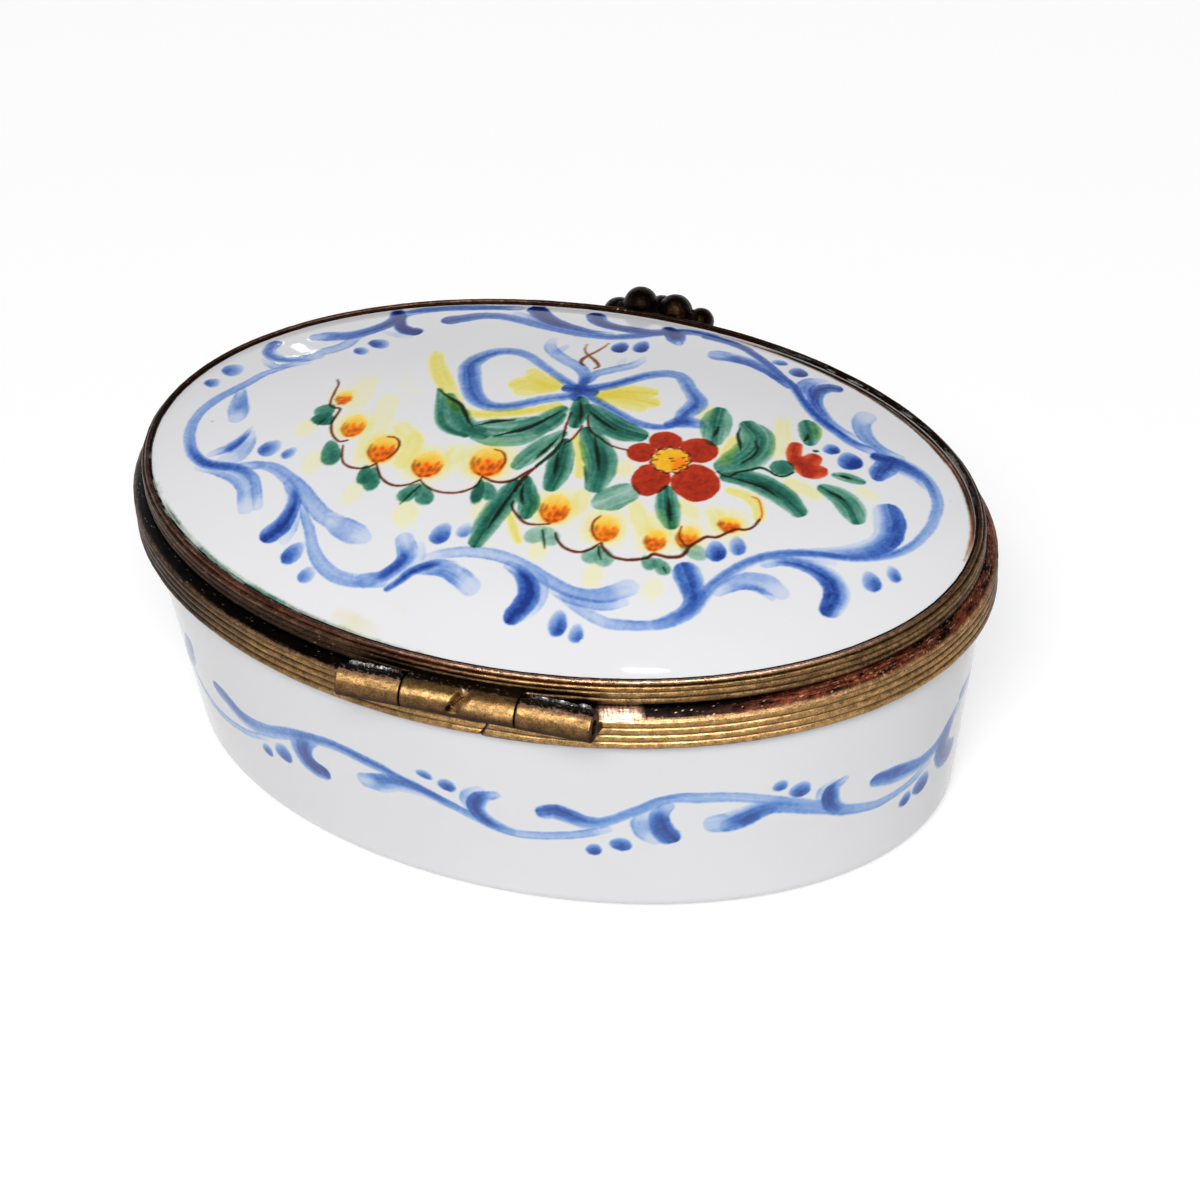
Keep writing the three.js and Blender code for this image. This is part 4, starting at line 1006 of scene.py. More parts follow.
def paint_bouquet(s):
    """The leaves, buds and flowers: strokes in lists of width, load and places in millimetres."""
    # soft yellow washes
    for width, load, points in [
        (1.3, .42, [(-12.5, 9), (-11.8, 7.4), (-10.4, 5.5)]), (1.8, .22, [(-16.5, 5), (-16.4, 2)]),
        (1.8, .25, [(-14, 3), (-13.8, 0), (-13.7, -4)]),
        (1.6, .4, [(-12, 0), (-10.5, -1.5), (-10.5, -4)]), (1.2, .4, [(-10.6, -.8), (-10.4, -2)]),
        (1.6, .34, [(-7, -1.6), (-7, -3)]), (1.4, .25, [(-19.2, -.8), (-19.2, -1.6)]),
        (1.6, .22, [(-17.3, -4.2), (-17.2, -5.4)]), (1.4, .2, [(-13, -7), (-13.2, -8.2)]),
        (1.8, .28, [(-8.6, -8.4), (-8.4, -9.4)]), (1.2, .22, [(-3.4, -6.8), (-3.4, -8)]),
        (.9, .6, [(-.9, -7.6), (-.2, -8.8), (.4, -9.7)]), (1.4, .25, [(2, -9.8), (2.1, -10.6)]),
        (1.5, .35, [(3.5, -4.2), (3.5, -6)]), (1.4, .25, [(6.6, -11), (6.6, -12)]),
        (1.3, .2, [(11, -11), (11, -12)]), (1.4, .4, [(7.5, -4.2), (8.2, -5.4), (8.8, -6.5)]),
        (1.2, .35, [(10.8, -3), (11.8, -4)]), (1.4, .35, [(13, -3.2), (14, -4)]),
        (1.4, .3, [(9.3, 7.9), (9.5, 7)]), (1.2, .5, [(12.2, 5), (12.2, 2.4)]),
        (1.4, .3, [(14.9, 8.6), (15.4, 6.5), (15.5, 4.6)]),
        (1.3, .35, [(17.3, 1.8), (18.4, 1.5), (19.5, 1.2)]), (1, .25, [(22.3, 3), (23.4, 2.7)]),
        (1.3, .3, [(5.5, -.2), (5.6, -1)]), (1.1, .35, [(17.3, 9), (17.6, 8)]),
        (1.4, .3, [(1.6, -7.3), (3, -5.6)]), (2, .3, [(9.6, -5), (10.2, -6.6)]),
    ]:
        s.draw("yellow", [width * .8, width, width * .8], [load], points, wet=0.6, streak=0.1)
    for width, load, points in [
        (2.2, .6, [(-5.2, 7), (-4.4, 7.5), (-3.4, 7.4), (-2.8, 7.3)]),
        (1.9, .55, [(-4.6, 8.7), (-3.9, 8.2), (-3.3, 7.9), (-2.6, 7.6)]),
        (1.5, .5, [(-4.8, 6.1), (-4, 6.5), (-3, 6.9)]),
        (2, .65, [(1.4, 7.2), (2.5, 7.5), (4, 7.6), (5, 7.5)]),
        (1.8, .65, [(1.6, 7.5), (2.6, 8.2), (3.8, 8.6), (4.5, 8.7)]),
        (1.5, .5, [(1.6, 7), (3, 6.8), (4.5, 6.6)]),
        (1.5, .5, [(-12.7, 9.6), (-12, 8), (-10.9, 6.3), (-9.9, 4.8), (-8.9, 3.4)]),
        (1.2, .6, [(-9.4, 3.8), (-8.6, 3), (-7.2, 2.6), (-5.5, 3), (-3.5, 3.8), (-1.5, 5.1)]),
        (1, .55, [(1, 1.9), (1.6, .8), (2.2, -.5), (2.6, -2.2)]),
        (1.2, .55, [(13.6, -.6), (15, -.8), (15.9, -1.6), (16.3, -2.6)]),
    ]:
        s.draw("yellow", [width * .7, width, width * .8], [load], points, wet=0.35)
    # twigs above the bow
    for points in [
        [(-2.1, 14), (-2, 13.2), (-1.6, 12.5), (-1, 12), (-.5, 11.5), (-.2, 11), (-.4, 10.6)],
        [(-.6, 14.7), (-.8, 13.8), (-1.2, 12.8), (-1.5, 12.2), (-1.7, 11.6), (-1.6, 11.1),
         (-1.3, 10.8)],
    ]:
        s.draw("brown", [.15, .28, .38, .2], [.35, .6, .7, .55], points)
    # bowl-shaped leaf under the bow
    for width, load, points in [
        (1, .62, [(-10.7, 4.9), (-10.2, 3.6), (-9.7, 2.2), (-9.1, 1), (-8.2, .3), (-7, 0)]),
        (2, .62, [(-9.7, 4.2), (-9.1, 2.9), (-8.3, 1.8), (-7.2, .8), (-5.8, .4)]),
        (1.6, .6, [(-8.9, 3.4), (-8.1, 2.2), (-7.2, 1.2), (-6, .9)]),
        (2, .55, [(-7, .5), (-5.6, .3), (-4, .4), (-2.6, 1.1), (-1.6, 2.2)]),
        (1.6, .5, [(-6.3, 1.5), (-5, 1.7), (-3.6, 2.2), (-2.5, 3)]),
        (1.7, .62, [(-3.4, 1.6), (-2.3, 2.6), (-1.4, 3.8), (-1, 4.7)]),
        (1.1, .6, [(-1.9, 1.6), (-1.1, 2.8), (-.7, 4)]),
    ]:
        s.draw("green", [width * .5, width, width, width * .6],
               [load * .9, load, load * 1.05], points, 0, .14, .22)
    for points in [
        [(-10.9, 5), (-9.8, 4.2), (-8.6, 3.5), (-7.9, 2.6), (-7.3, 1.7), (-6.8, 1.1)],
        [(-6.4, 1.4), (-5.5, 2), (-4.8, 2.3), (-4, 2.6)],
        [(-4.8, .4), (-4, 1), (-3, 1.7), (-2.2, 2.6), (-1.5, 3.7), (-1, 4.5)],
    ]:
        s.draw("vein", [.15, .4, .35, .15], [.6, .95, .95, .6], points)
    # leaves of the middle spray: midline, width, load, vein
    for points, width, load, vein in [
        ([(0, 6.3), (.3, 5), (.5, 3.3)], 1.4, .75, [(0, 6), (.5, 4.8), (.8, 3.5)]),
        ([(1, 5.3), (2.5, 4.2), (4, 3.5), (5.3, 3.3)], 2.2, .72, [(1.1, 5), (2.2, 4.2),
         (3.6, 3.4)]),
        ([(1.8, 2.6), (2.9, 1), (3.8, -.8), (4.1, -2.9)], 2.3, .68, [(2.3, 2.4), (2.9, 1),
         (3.4, -.2), (3.8, -1.3)]),
        ([(-.1, 1.9), (-1, .3), (-1.7, -1.2), (-2.1, -2.3)], 1.5, .5, [(-.2, 1.4), (-.6, 0),
         (-1.1, -1.3)]),
        ([(.5, 1), (.8, -.8), (1, -2.4), (1, -3.8)], 1.8, .72, [(.3, -.2), (.6, -1.4),
         (.8, -2.6)]),
        ([(-1, -3.7), (-.5, -5), (0, -6), (.1, -7)], 1.6, .7, [(-1, -4.2), (-.8, -5.3),
         (-.4, -6.2)]),
        ([(-1.6, -4.4), (-1.8, -6), (-2.2, -8), (-2.5, -10.3)], 1.9, .68, [(-1.4, -4.5),
         (-1.8, -7), (-2.1, -9)]),
        ([(16.6, 9.2), (17, 8.4), (17.4, 7.1)], 1.6, .65, [(17, 7.9), (17.1, 7.4), (17, 6.9)]),
        ([(10.2, 8), (10.4, 6.5), (10.8, 4.6)], 2.1, .6, [(10.7, 6.2), (10.7, 5.6), (10.7, 4.9)]),
        ([(12.8, 7), (13.7, 6), (13.9, 4.4), (13.2, 2.6), (12.6, 1.9)], 2.7, .6, [(12.2, 6.6),
         (12.3, 5.7), (12.7, 4.8), (13, 4)]),
        ([(13, .8), (14.5, 1), (16, .7), (17.4, .1), (18.7, -.9)], 2, .68, [(13.2, .8), (14.5, .7),
         (15.8, .5), (17, -.1)]),
        ([(20.2, 3.9), (21.1, 4), (22.1, 4)], 1, .55, [(20.4, 4), (20.9, 4), (21.4, 4)]),
        ([(19.9, 2.1), (21.2, 1.7), (22.2, .9), (22.8, 0)], 1.9, .6, [(20, 1.95), (21, 1.7),
         (21.6, 1.4)]),
        ([(9.2, -2), (9.7, -3.5), (10.5, -5.2)], 1.7, .65, [(9.5, -2.6), (10, -4), (10.4, -5)]),
    ]:
        leaf(s, points, width, load, vein)
    s.draw("vein", [.2, .3, .2], [.5, .7, .5], [(13.7, 5.5), (14.1, 4.6), (14, 3.6), (13.5, 2.7)])
    s.draw("green", [2.2, 2.4, 1.4], [.4, .45, .4], [(6.4, -3.2), (5.6, -4), (5, -4.6)])
    s.draw("vein", [.15, .25, .15], [.35, .5, .3], [(2.7, -1.2), (3.3, -2.7)])
    # stems
    for pigment, width, load, points in [
        ("brown", .28, .8, [(1.1, 4.6), (1.4, 3.6), (1.9, 2.8), (2.8, 2.2), (3.8, 1.6),
         (5.2, 1.4)]),
        ("brown", .28, .75, [(-.2, 4.5), (-.1, 3), (.1, 1.8), (.2, 1)]),
        ("brown", .28, .7, [(1.1, 3.2), (.9, 1.8), (.5, .9)]),
        ("vein", .45, .8, [(.2, 1.2), (.1, .2), (-.2, -.8), (-.7, -2)]),
        ("brown", .45, .85, [(-.7, -2.1), (-1.1, -3), (-1.3, -4), (-1.4, -5)]),
        ("vein", .3, .9, [(12.1, 1.1), (12.6, .85), (13.1, .9), (13.5, 1.5), (14.3, 2.1),
         (14.9, 2.6), (15.5, 2.5), (16.2, 2.2), (16.8, 2.3), (17.3, 3)]),
        ("brown", .3, .75, [(-19, 4.9), (-18.7, 4.4), (-18.6, 3.4), (-18.5, 2.3), (-18.3, 1.6),
         (-17.9, 1.4), (-17.4, 1.3), (-17.4, .3), (-17.4, -.5), (-17, -1.5), (-16.5, -2.1),
         (-16, -2.4), (-15.5, -2.2)]),
        ("brown", .3, .8, [(-15.6, -2.8), (-15.3, -3.8), (-14.9, -4.6), (-14.2, -5), (-13.4, -5),
         (-12.8, -4.7), (-12.4, -4.3)]),
        ("brown", .3, .8, [(-12.4, -4.3), (-12, -5), (-11.4, -5.8), (-10.4, -6.3), (-9.4, -6.1),
         (-8.6, -5.4)]),
        ("brown", .3, .8, [(-8.6, -5.4), (-7.8, -6), (-6.8, -6.3), (-5.7, -6.2), (-4.8, -5.7),
         (-4.3, -5), (-4.2, -4)]),
        ("brown", .35, .85, [(-4.2, -4.1), (-3.3, -4.4), (-2.5, -4.3), (-1.8, -3.8), (-1.3, -3),
         (-.8, -2.3)]),
        ("brown", .38, .85, [(16.4, -2.8), (16.2, -3.6), (15.8, -4.1), (15.1, -4.3), (14.6, -4.8),
         (14, -5.5), (13.3, -5.7), (12.9, -6.2), (12.4, -7), (12.3, -7.6), (12, -8.1),
         (11.2, -8.4), (10.2, -8.4), (9.8, -8.9), (9, -9.3), (8.2, -9.5), (7.3, -9.4), (6.6, -8.9),
         (6.3, -8.5)]),
        ("brown", .3, .85, [(6.1, -8.6), (5.6, -9.3), (4.8, -9.7), (3.8, -9.5), (3.1, -8.9),
         (2.8, -8.4)]),
        ("brown", .3, .8, [(2.1, -7.6), (1.2, -7.9), (.3, -7.9), (-.5, -7.3), (-1.1, -6.6),
         (-1.2, -6)]),
        ("orange", .22, .7, [(15.2, -.7), (15.8, -.9), (16.4, -2.2), (16.4, -3)]),
    ]:
        s.draw(pigment, [width * .6, width * .9, width * .7], [load], points, wet=.1)
    # buds of the two garlands
    for x, y, width, height, hot, lean in [
        (-17.6, 2.7, 1.1, 1.5, .6, .3), (-15.6, -.5, 1.6, 2.3, .6, .2),
        (-12.5, -2.6, 2, 2.8, .8, 0), (-8.6, -3.7, 2.1, 2.5, .85, 0),
        (-4.3, -2.4, 2.4, 2.9, .75, 0), (2, -6, 2, 2.6, .75, .2), (6.1, -7, 1.9, 2.3, .6, 0),
        (9.9, -7.1, 1.4, 1.9, .75, .2), (12, -6.1, 1.5, 1.9, .6, -.2), (14.5, -4, 1.5, 1.4, .7, 0),
    ]:
        bud(s, x, y, width, height, hot, lean)
    for points in [
        [(-12.6, -1.3), (-12, -1.3), (-11.5, -1.8), (-11.4, -2.7), (-11.8, -3.6)],
        [(-4.3, -1), (-3.6, -1.2), (-3.15, -2), (-3.2, -2.9)],
        [(5.4, -5.9), (5.1, -6.6), (5.3, -7.5), (5.8, -8.1)],
        [(11.3, -5.3), (11.4, -6.2), (12, -6.9), (12.5, -7)],
    ]:
        s.draw("brown", [.15, .25, .2], [.5, .7, .6], points, wet=.1)
    # small heart leaves below the buds
    for load, width, points in [
        (.6, 1.4, [(-18.9, .9), (-18.1, .8)]), (.75, 1.3, [(-18.2, .4), (-18.3, -.4)]),
        (.65, 1.1, [(-16.6, -2.7), (-16.2, -3.8), (-15.9, -4.7)]),
        (.7, .8, [(-13, -5), (-12.7, -6.2)]), (.65, .9, [(-12.3, -5.1), (-12, -6.8)]),
        (.6, .95, [(-8.6, -6.1), (-9.2, -7.4)]), (.6, 1, [(-8.2, -6.1), (-7.5, -7.4)]),
        (.8, .7, [(-4.1, -4.8), (-3.9, -6.6)]), (.6, .85, [(-3.6, -4.9), (-3, -6)]),
        (.35, 1, [(1.7, -8.3), (1.2, -9.3)]), (.35, 1, [(2.1, -8.3), (2.8, -9.2)]),
        (.4, 1, [(6.2, -9.1), (5.8, -10.1)]), (.4, 1, [(6.5, -9.1), (7.1, -10.1)]),
        (.5, .8, [(9.8, -9), (10.3, -9.5)]), (.5, .8, [(10.6, -9), (11.4, -9.7)]),
        (.35, 1.5, [(13, -7), (12.8, -7.6)]),
    ]:
        (x, y), (tip_x, tip_y) = points[0], points[-1]
        length = math.hypot(tip_x - x, tip_y - y) + 0.8
        lean = math.atan2(tip_x - x, y - tip_y)
        s.touch("green", (x + tip_x) / 2, (y + tip_y) / 2, width * 1.4, length, load * 1.08, lean,
                (0.1, -0.3), 0.25, 0.25)
    for points in [
        [(1.8, -8.3), (2.2, -9.2), (2.5, -9.9)], [(6.2, -8.8), (6.4, -9.4), (6.7, -9.9)],
        [(11.2, -9.4), (11.5, -9.8)], [(-8.4, -6), (-8.8, -7), (-9.2, -8)],
        [(-18.1, 0), (-18.4, -.8)],
    ]:
        s.draw("vein", [.18, .22, .14], [.6, .7, .5], points)
    # large red flower
    for x, y, width, height, lean in [
        (7.5, 3.2, 2.4, 2.3, 0), (10.15, 3, 2.8, 2.8, .1), (10.9, -.6, 3.5, 4, .35),
        (7.75, -1.2, 2.8, 3.6, 0), (6.25, 1.5, 2.2, 2.2, 0),
    ]:
        s.touch("red", x, y, width, height, .82, lean, (.1, -.2), .12, 0, .12)
    for points in [
        [(9.2, 2.6), (9.9, 2.2), (10.6, 1.7)], [(9.4, .4), (9.8, -.3), (9.6, -1.4)],
        [(7, .2), (6.6, -.2)], [(7, 2), (6.7, 2.5)], [(8.6, 2.8), (8.8, 3.6)],
        [(10.6, 1), (11.3, 1.1), (11.9, .9)],
    ]:
        s.draw("red", [.2, .3, .2], [.6, .7, .5], points, wet=.1)
    heart = (8.5, 1.25)
    s.layers["red"] *= 1 - s.blot(heart, 1.45)
    s.touch("yellow", *heart, 2.8, 2.8, .7, 0, (0, 0), .1, 0, .12)
    s.touch("gold", *heart, 2.7, 2.7, .45, 0, (0, 0), .1, 0, .2)
    s.touch("orange", heart[0] + .7, heart[1] - .2, 1.1, 1.7, .35, 0, (0, 0), .2, 0, .5)
    for k in range(11):
        a = 2 * math.pi * k / 11 + .2
        rim = [(heart[0] + r * math.cos(b), heart[1] + r * math.sin(b))
               for r, b in ((1.32, a - .24), (1.5, a), (1.32, a + .24))]
        s.draw("brown", [.14, .22, .14], [.7, .85, .7], rim, wet=.08)
    for u, v, load in [
        (-.1, .15, .8), (-1.15, .3, .7), (-1.1, -.3, .6), (.75, .5, .5), (1, -.3, .8),
        (.85, -.65, .85), (.5, -.95, .6), (1.1, .2, .6), (.1, -.1, .45),
    ]:
        spot = (heart[0] + u, heart[1] + v)
        s.draw("brown", [.16, .26, .14], [load], [spot, (spot[0] + .16, spot[1] + .1)], wet=.1)
    # small red flower and its green bud
    for width, load, points in [
        (1.2, .78, [(16.6, 6), (16.7, 5.2), (17, 4.3)]), (1.6, .75, [(18.2, 5), (18, 4.3)]),
        (1.7, .75, [(18.9, 3.8), (18.5, 3.5)]),
        (1.7, .78, [(17.4, 4.3), (17.8, 3.9), (18.2, 3.5)]),
    ]:
        s.draw("red", [width * .9, width, width * .9], [load], points, streak=.1)
    s.touch("green", 16.4, 3.2, 1.8, 1.8, .72, 0, (.2, -.2), .2, 0)
    s.draw("vein", [.3], [.8], [(18.05, 6.05), (18.2, 6.1)])


def rim_arc(degrees, inward=0.0):
    """Places along the dome's rim."""
    return [((DOME_LENGTH - inward) * math.cos(a), (DOME_WIDTH - inward) * math.sin(a))
            for a in np.radians(degrees)]


def paint_lid():
    s = Sheet(-DOME_LENGTH - 1, -DOME_WIDTH - 1, 2 * DOME_LENGTH + 2, 2 * DOME_WIDTH + 2)
    for widths, loads, side, points in LID_BORDER + LID_BOW:
        # strokes on the far side take the darker blue and a fuller load, as painted shade
        far = sum(y for _, y in points) / len(points) > FAR_SIDE
        s.draw("navy" if far else "blue", widths, [v * (1.3 if far else 1) for v in loads], points,
               side, fades=thin_ends(loads))
    for x, y, width, height, load in LID_DOTS:
        dot(s, x, y, width, height, load)
    paint_bouquet(s)
    # verdigris and dirt where the mount meets the glaze, and painted shade along the far rim
    rim = rim_arc(np.linspace(196, 262, 24))
    s.draw("grey", [.3, .5, .6, .5, .3], [.05, .4, .5, .4, .05], rim, 0, .4, 1.4)
    s.draw("green", [.1, .3, .5, .4, .1], [.05, .2, .32, .3, .05], rim, 0, .35, 1.8)
    dice = np.random.default_rng(71)
    for k in range(46):
        start, reach = dice.uniform(200, 266), dice.uniform(0.8, 2.6)
        arc = rim_arc([start, start + reach / 2, start + reach], dice.uniform(-.1, .2))
        s.draw(("grey", "green", "grey")[k % 3], [.1, dice.uniform(.15, .35), .1],
               [dice.uniform(.15, .55)], arc, wet=.3)
    s.draw("beige", [.8, 1.3, .8], [.2, .3, .1], [(-10.4, -18.2), (-9, -18.7), (-7.2, -19.1)],
           wet=.8)
    # along the far rim a brown and grey band: the dark joint, with painted shade
    far_rim = rim_arc(np.linspace(-2, 78, 24), 0.05)
    s.draw("brown", [.3, .7, .9, .8, .2], [.2, .95, 1, .9, .1], far_rim, 0, .2, 0.9)
    s.draw("grey", [.4, 1, 1.2, 1, .3], [.2, .9, 1, .9, .1], far_rim, 0, .25, 1.2)
    return s


# Blue strokes of the cup's band: widths, loads, side, and places as the run round the wall from
# the middle of the hinge side and the height, in millimetres. They cover the hinge side.
WALL_START, WALL_END = -33.0, 39.5
UNIT_START, UNIT_END = -15.5, 11.5  # the far side repeats the strokes that centre on this stretch
UNIT_STEP, UNIT_SHIFT, UNIT_COUNT = 27.0, 51.5, 4
WALL_BROAD, WALL_FULL = 1.12, 1.1  # how much broader and fuller the strokes fired
SPARE = 8.0  # sheet past the middle of the clasp side, at each of its ends
WALL_BAND = [
    ([1.4, 1.9, 1.7, .9], [.85, .95, .85, .5], 0, [(-28.4, 12.2), (-29.3, 10.5), (-30.5, 9),
     (-33, 7.4)]),
    ([.9, .9, .8, .7, .6, .5], [.45, .5, .45, .4, .35, .3], .2, [(-30.5, 8.7), (-29, 7.8),
     (-27.5, 7.1), (-26, 6.9), (-24.5, 7), (-23, 7.3), (-21.5, 7.7), (-20, 8.4), (-19, 8.9)]),
    ([1.5, 1.6, 1.4, 1.2, 1.1, 1.1, 1.1, 1.1, 1, .9, .8, .8, .8, .8, .8, .7], [.75, .7, .5, .5,
     .55, .6, .65, .65, .6, .6, .5, .5, .38, .35, .35, .35], .2, [(-24.4, 10.2), (-23.5, 10),
     (-22, 9.4), (-20.5, 9.4), (-19, 9.8), (-17.5, 10.5), (-16, 11.3), (-14.8, 11.8),
     (-13.5, 12.2), (-12, 12.5), (-10.5, 12.5), (-9, 12.2), (-7.5, 11.9), (-6.5, 11.5), (-5, 11.1),
     (-3.5, 10.5), (-2, 9.8), (-.5, 9.1), (1, 8.4), (2.5, 8.1), (3.5, 8.1), (5, 8.3), (6.5, 8.6),
     (8, 9), (9.5, 9.6)]),
    ([1.1, 1.6, 1.9, 1.9, 1.8, 1.5], [.55, .7, .82, .9, .95, .9], .25, [(-13.6, 12.1),
     (-14.6, 11.3), (-15.1, 10.2), (-14.9, 9.2), (-14.2, 8.6), (-13.5, 8.5)]),
    ([1.5, 1.8, 1.5, 1.2, 1, .8], [.55, .65, .6, .6, .6, .5], .35, [(-9.2, 9.8), (-8.3, 10),
     (-7, 10.6), (-5.8, 10.8), (-4.5, 10.7), (-3.3, 10.3), (-2, 9.8)]),
    ([.7, 1.2, 1.4, 1.3, 1.1, .8], [.6, .8, .85, .8, .65, .5], -.2, [(1.4, 12.2), (.3, 11.6),
     (-.2, 10.8), (-.2, 10), (.3, 9.2), (1.2, 8.6), (2.2, 8.2)]),
    ([.8, 1.1, .9], [.3, .38, .34], 0, [(.2, 12.4), (-.7, 11.6), (-.8, 10.6), (-.4, 9.9)]),
    ([1.4, 1.6, 1.5, 1.3, 1, .9, .9, .9, .9, 1, 1, .9, .9, .8, .7], [.65, .8, .7, .55, .5, .5, .5,
     .5, .5, .4, .38, .36, .35, .35, .35], .2, [(5, 11), (5.8, 11.2), (7, 10.7), (8, 10.3),
     (9, 10.3), (10, 10.8), (11, 11.4), (12, 12), (13, 12.7), (14, 13.1), (15, 13.2), (16, 13.1),
     (17.5, 13), (19, 12.7), (20.5, 12.2), (22, 11.6), (23.5, 10.8)]),
    ([.9, 1.3, 1.5, 1.7, 1.7], [.6, .75, .85, .88, .85], .1, [(13.9, 12.3), (13.3, 11.4),
     (13.3, 10.5), (13.5, 9.6), (13.9, 8.9)]),
    ([.9, 1.5, 1.6, 1.1], [.32, .4, .4, .36], 0, [(12.3, 11.7), (12, 10.5), (12.3, 9.4),
     (13, 8.6)]),
    ([1.2, 1.6, 1.4, 1], [.6, .85, .8, .5], -.1, [(18.3, 9.6), (19.2, 10), (20.2, 10.5),
     (21.3, 10.9)]),
    ([1.7, 1.9, 1.7, 1.5, 1.3, 1.1, .9, .8, .7, .7], [.55, .62, .6, .5, .45, .4, .4, .38, .36,
     .36], -.3, [(17.4, 10), (18.3, 10.1), (19.5, 10.6), (20.5, 11.1), (22, 11.1), (23.5, 10.5),
     (25, 9.8), (26, 9.3), (27, 8.6), (28, 8.2), (29.5, 7.7), (30.5, 7.6), (32, 7.7), (33.5, 8),
     (35, 8.7)]),
    ([.6, 1.2, 1.4, 1.3, 1, .8], [.6, .85, .9, .8, .6, .5], -.2, [(26.9, 12.1), (26, 11.4),
     (25.9, 10.6), (26.1, 9.7), (26.7, 8.9), (27.6, 8.3)]),
    ([.5, .7, .6, .4], [.3, .38, .35, .25], 0, [(26.1, 12.2), (25.2, 11.6), (25.1, 10.7),
     (25.4, 10.1)]),
    ([1.4, 1.7, 1.4, 1.2, 1.2, 1.1, 1], [.7, .75, .6, .55, .55, .5, .45], .2, [(29.9, 10.4),
     (31, 10.1), (32.5, 9.7), (34, 9.4), (35.5, 9.6), (36.5, 10.1), (37.5, 10.9), (38.5, 11.5),
     (39.5, 11.9)]),
    ([1.4, 1.8, 2.1, 2.1], [.75, .88, .92, .92], 0, [(37.4, 10.6), (36.9, 9.3), (37, 8.3),
     (37.6, 7.5), (38.1, 7.2)]),
]
# Blue dots of the band: place, width, height, load
WALL_DOTS = [
    (-17.3, 8.4, 1.7, 2, .85), (-19.3, 7.4, 1.1, 1.4, .8), (-4, 12.8, 1.3, 1, .75),
    (-2.3, 12.2, 1.4, 1.4, .9), (8.4, 7.2, 1.2, 1.4, .95), (10.4, 8, 1.7, 1.5, .9),
    (22, 13.3, 1.1, 1.2, .8), (23.5, 12.4, 1.6, 1.7, .85), (32.9, 6.3, 1.2, 1.6, .9),
    (34.6, 6.8, 1.8, 2.1, .95),
]


def painted(x, shift, middle):
    """Whether a stroke's place is painted when the stroke lies moved on by shift. All places are
    at no shift, and past the hinge side's ends those of the repeated stretch's strokes."""
    past = x + shift > WALL_END - 1 or x + shift < WALL_START + 1.5
    return shift == 0 or past and UNIT_START < middle < UNIT_END


def paint_wall():
    round_wall = fine_run(BAND_INSET)[-1]
    s = Sheet(-round_wall / 2 - SPARE, BAND_LOW, round_wall + 2 * SPARE, BAND_HIGH - BAND_LOW)
    shifts = [UNIT_SHIFT + k * UNIT_STEP for k in range(UNIT_COUNT)]
    for shift in [0.0] + shifts + [shift - round_wall for shift in shifts]:
        for widths, loads, side, points in WALL_BAND:
            middle = sum(x for x, _ in points) / len(points)
            moved = [(x + shift, z) for x, z in points if painted(x, shift, middle)]
            if len(moved) > 1:
                s.draw("band", [WALL_BROAD * v for v in widths], [WALL_FULL * v for v in loads],
                       moved, side, fades=thin_ends(loads))
        for x, z, width, height, load in WALL_DOTS:
            if painted(x, shift, x):
                s.touch("band", x + shift, z, width, height, load, -0.3, (0.2, -0.5))
    s.draw("grey", [.12, .18, .1], [.7], [(-11.4, 2.6), (-11, 3.2)], wet=.08)
    return s


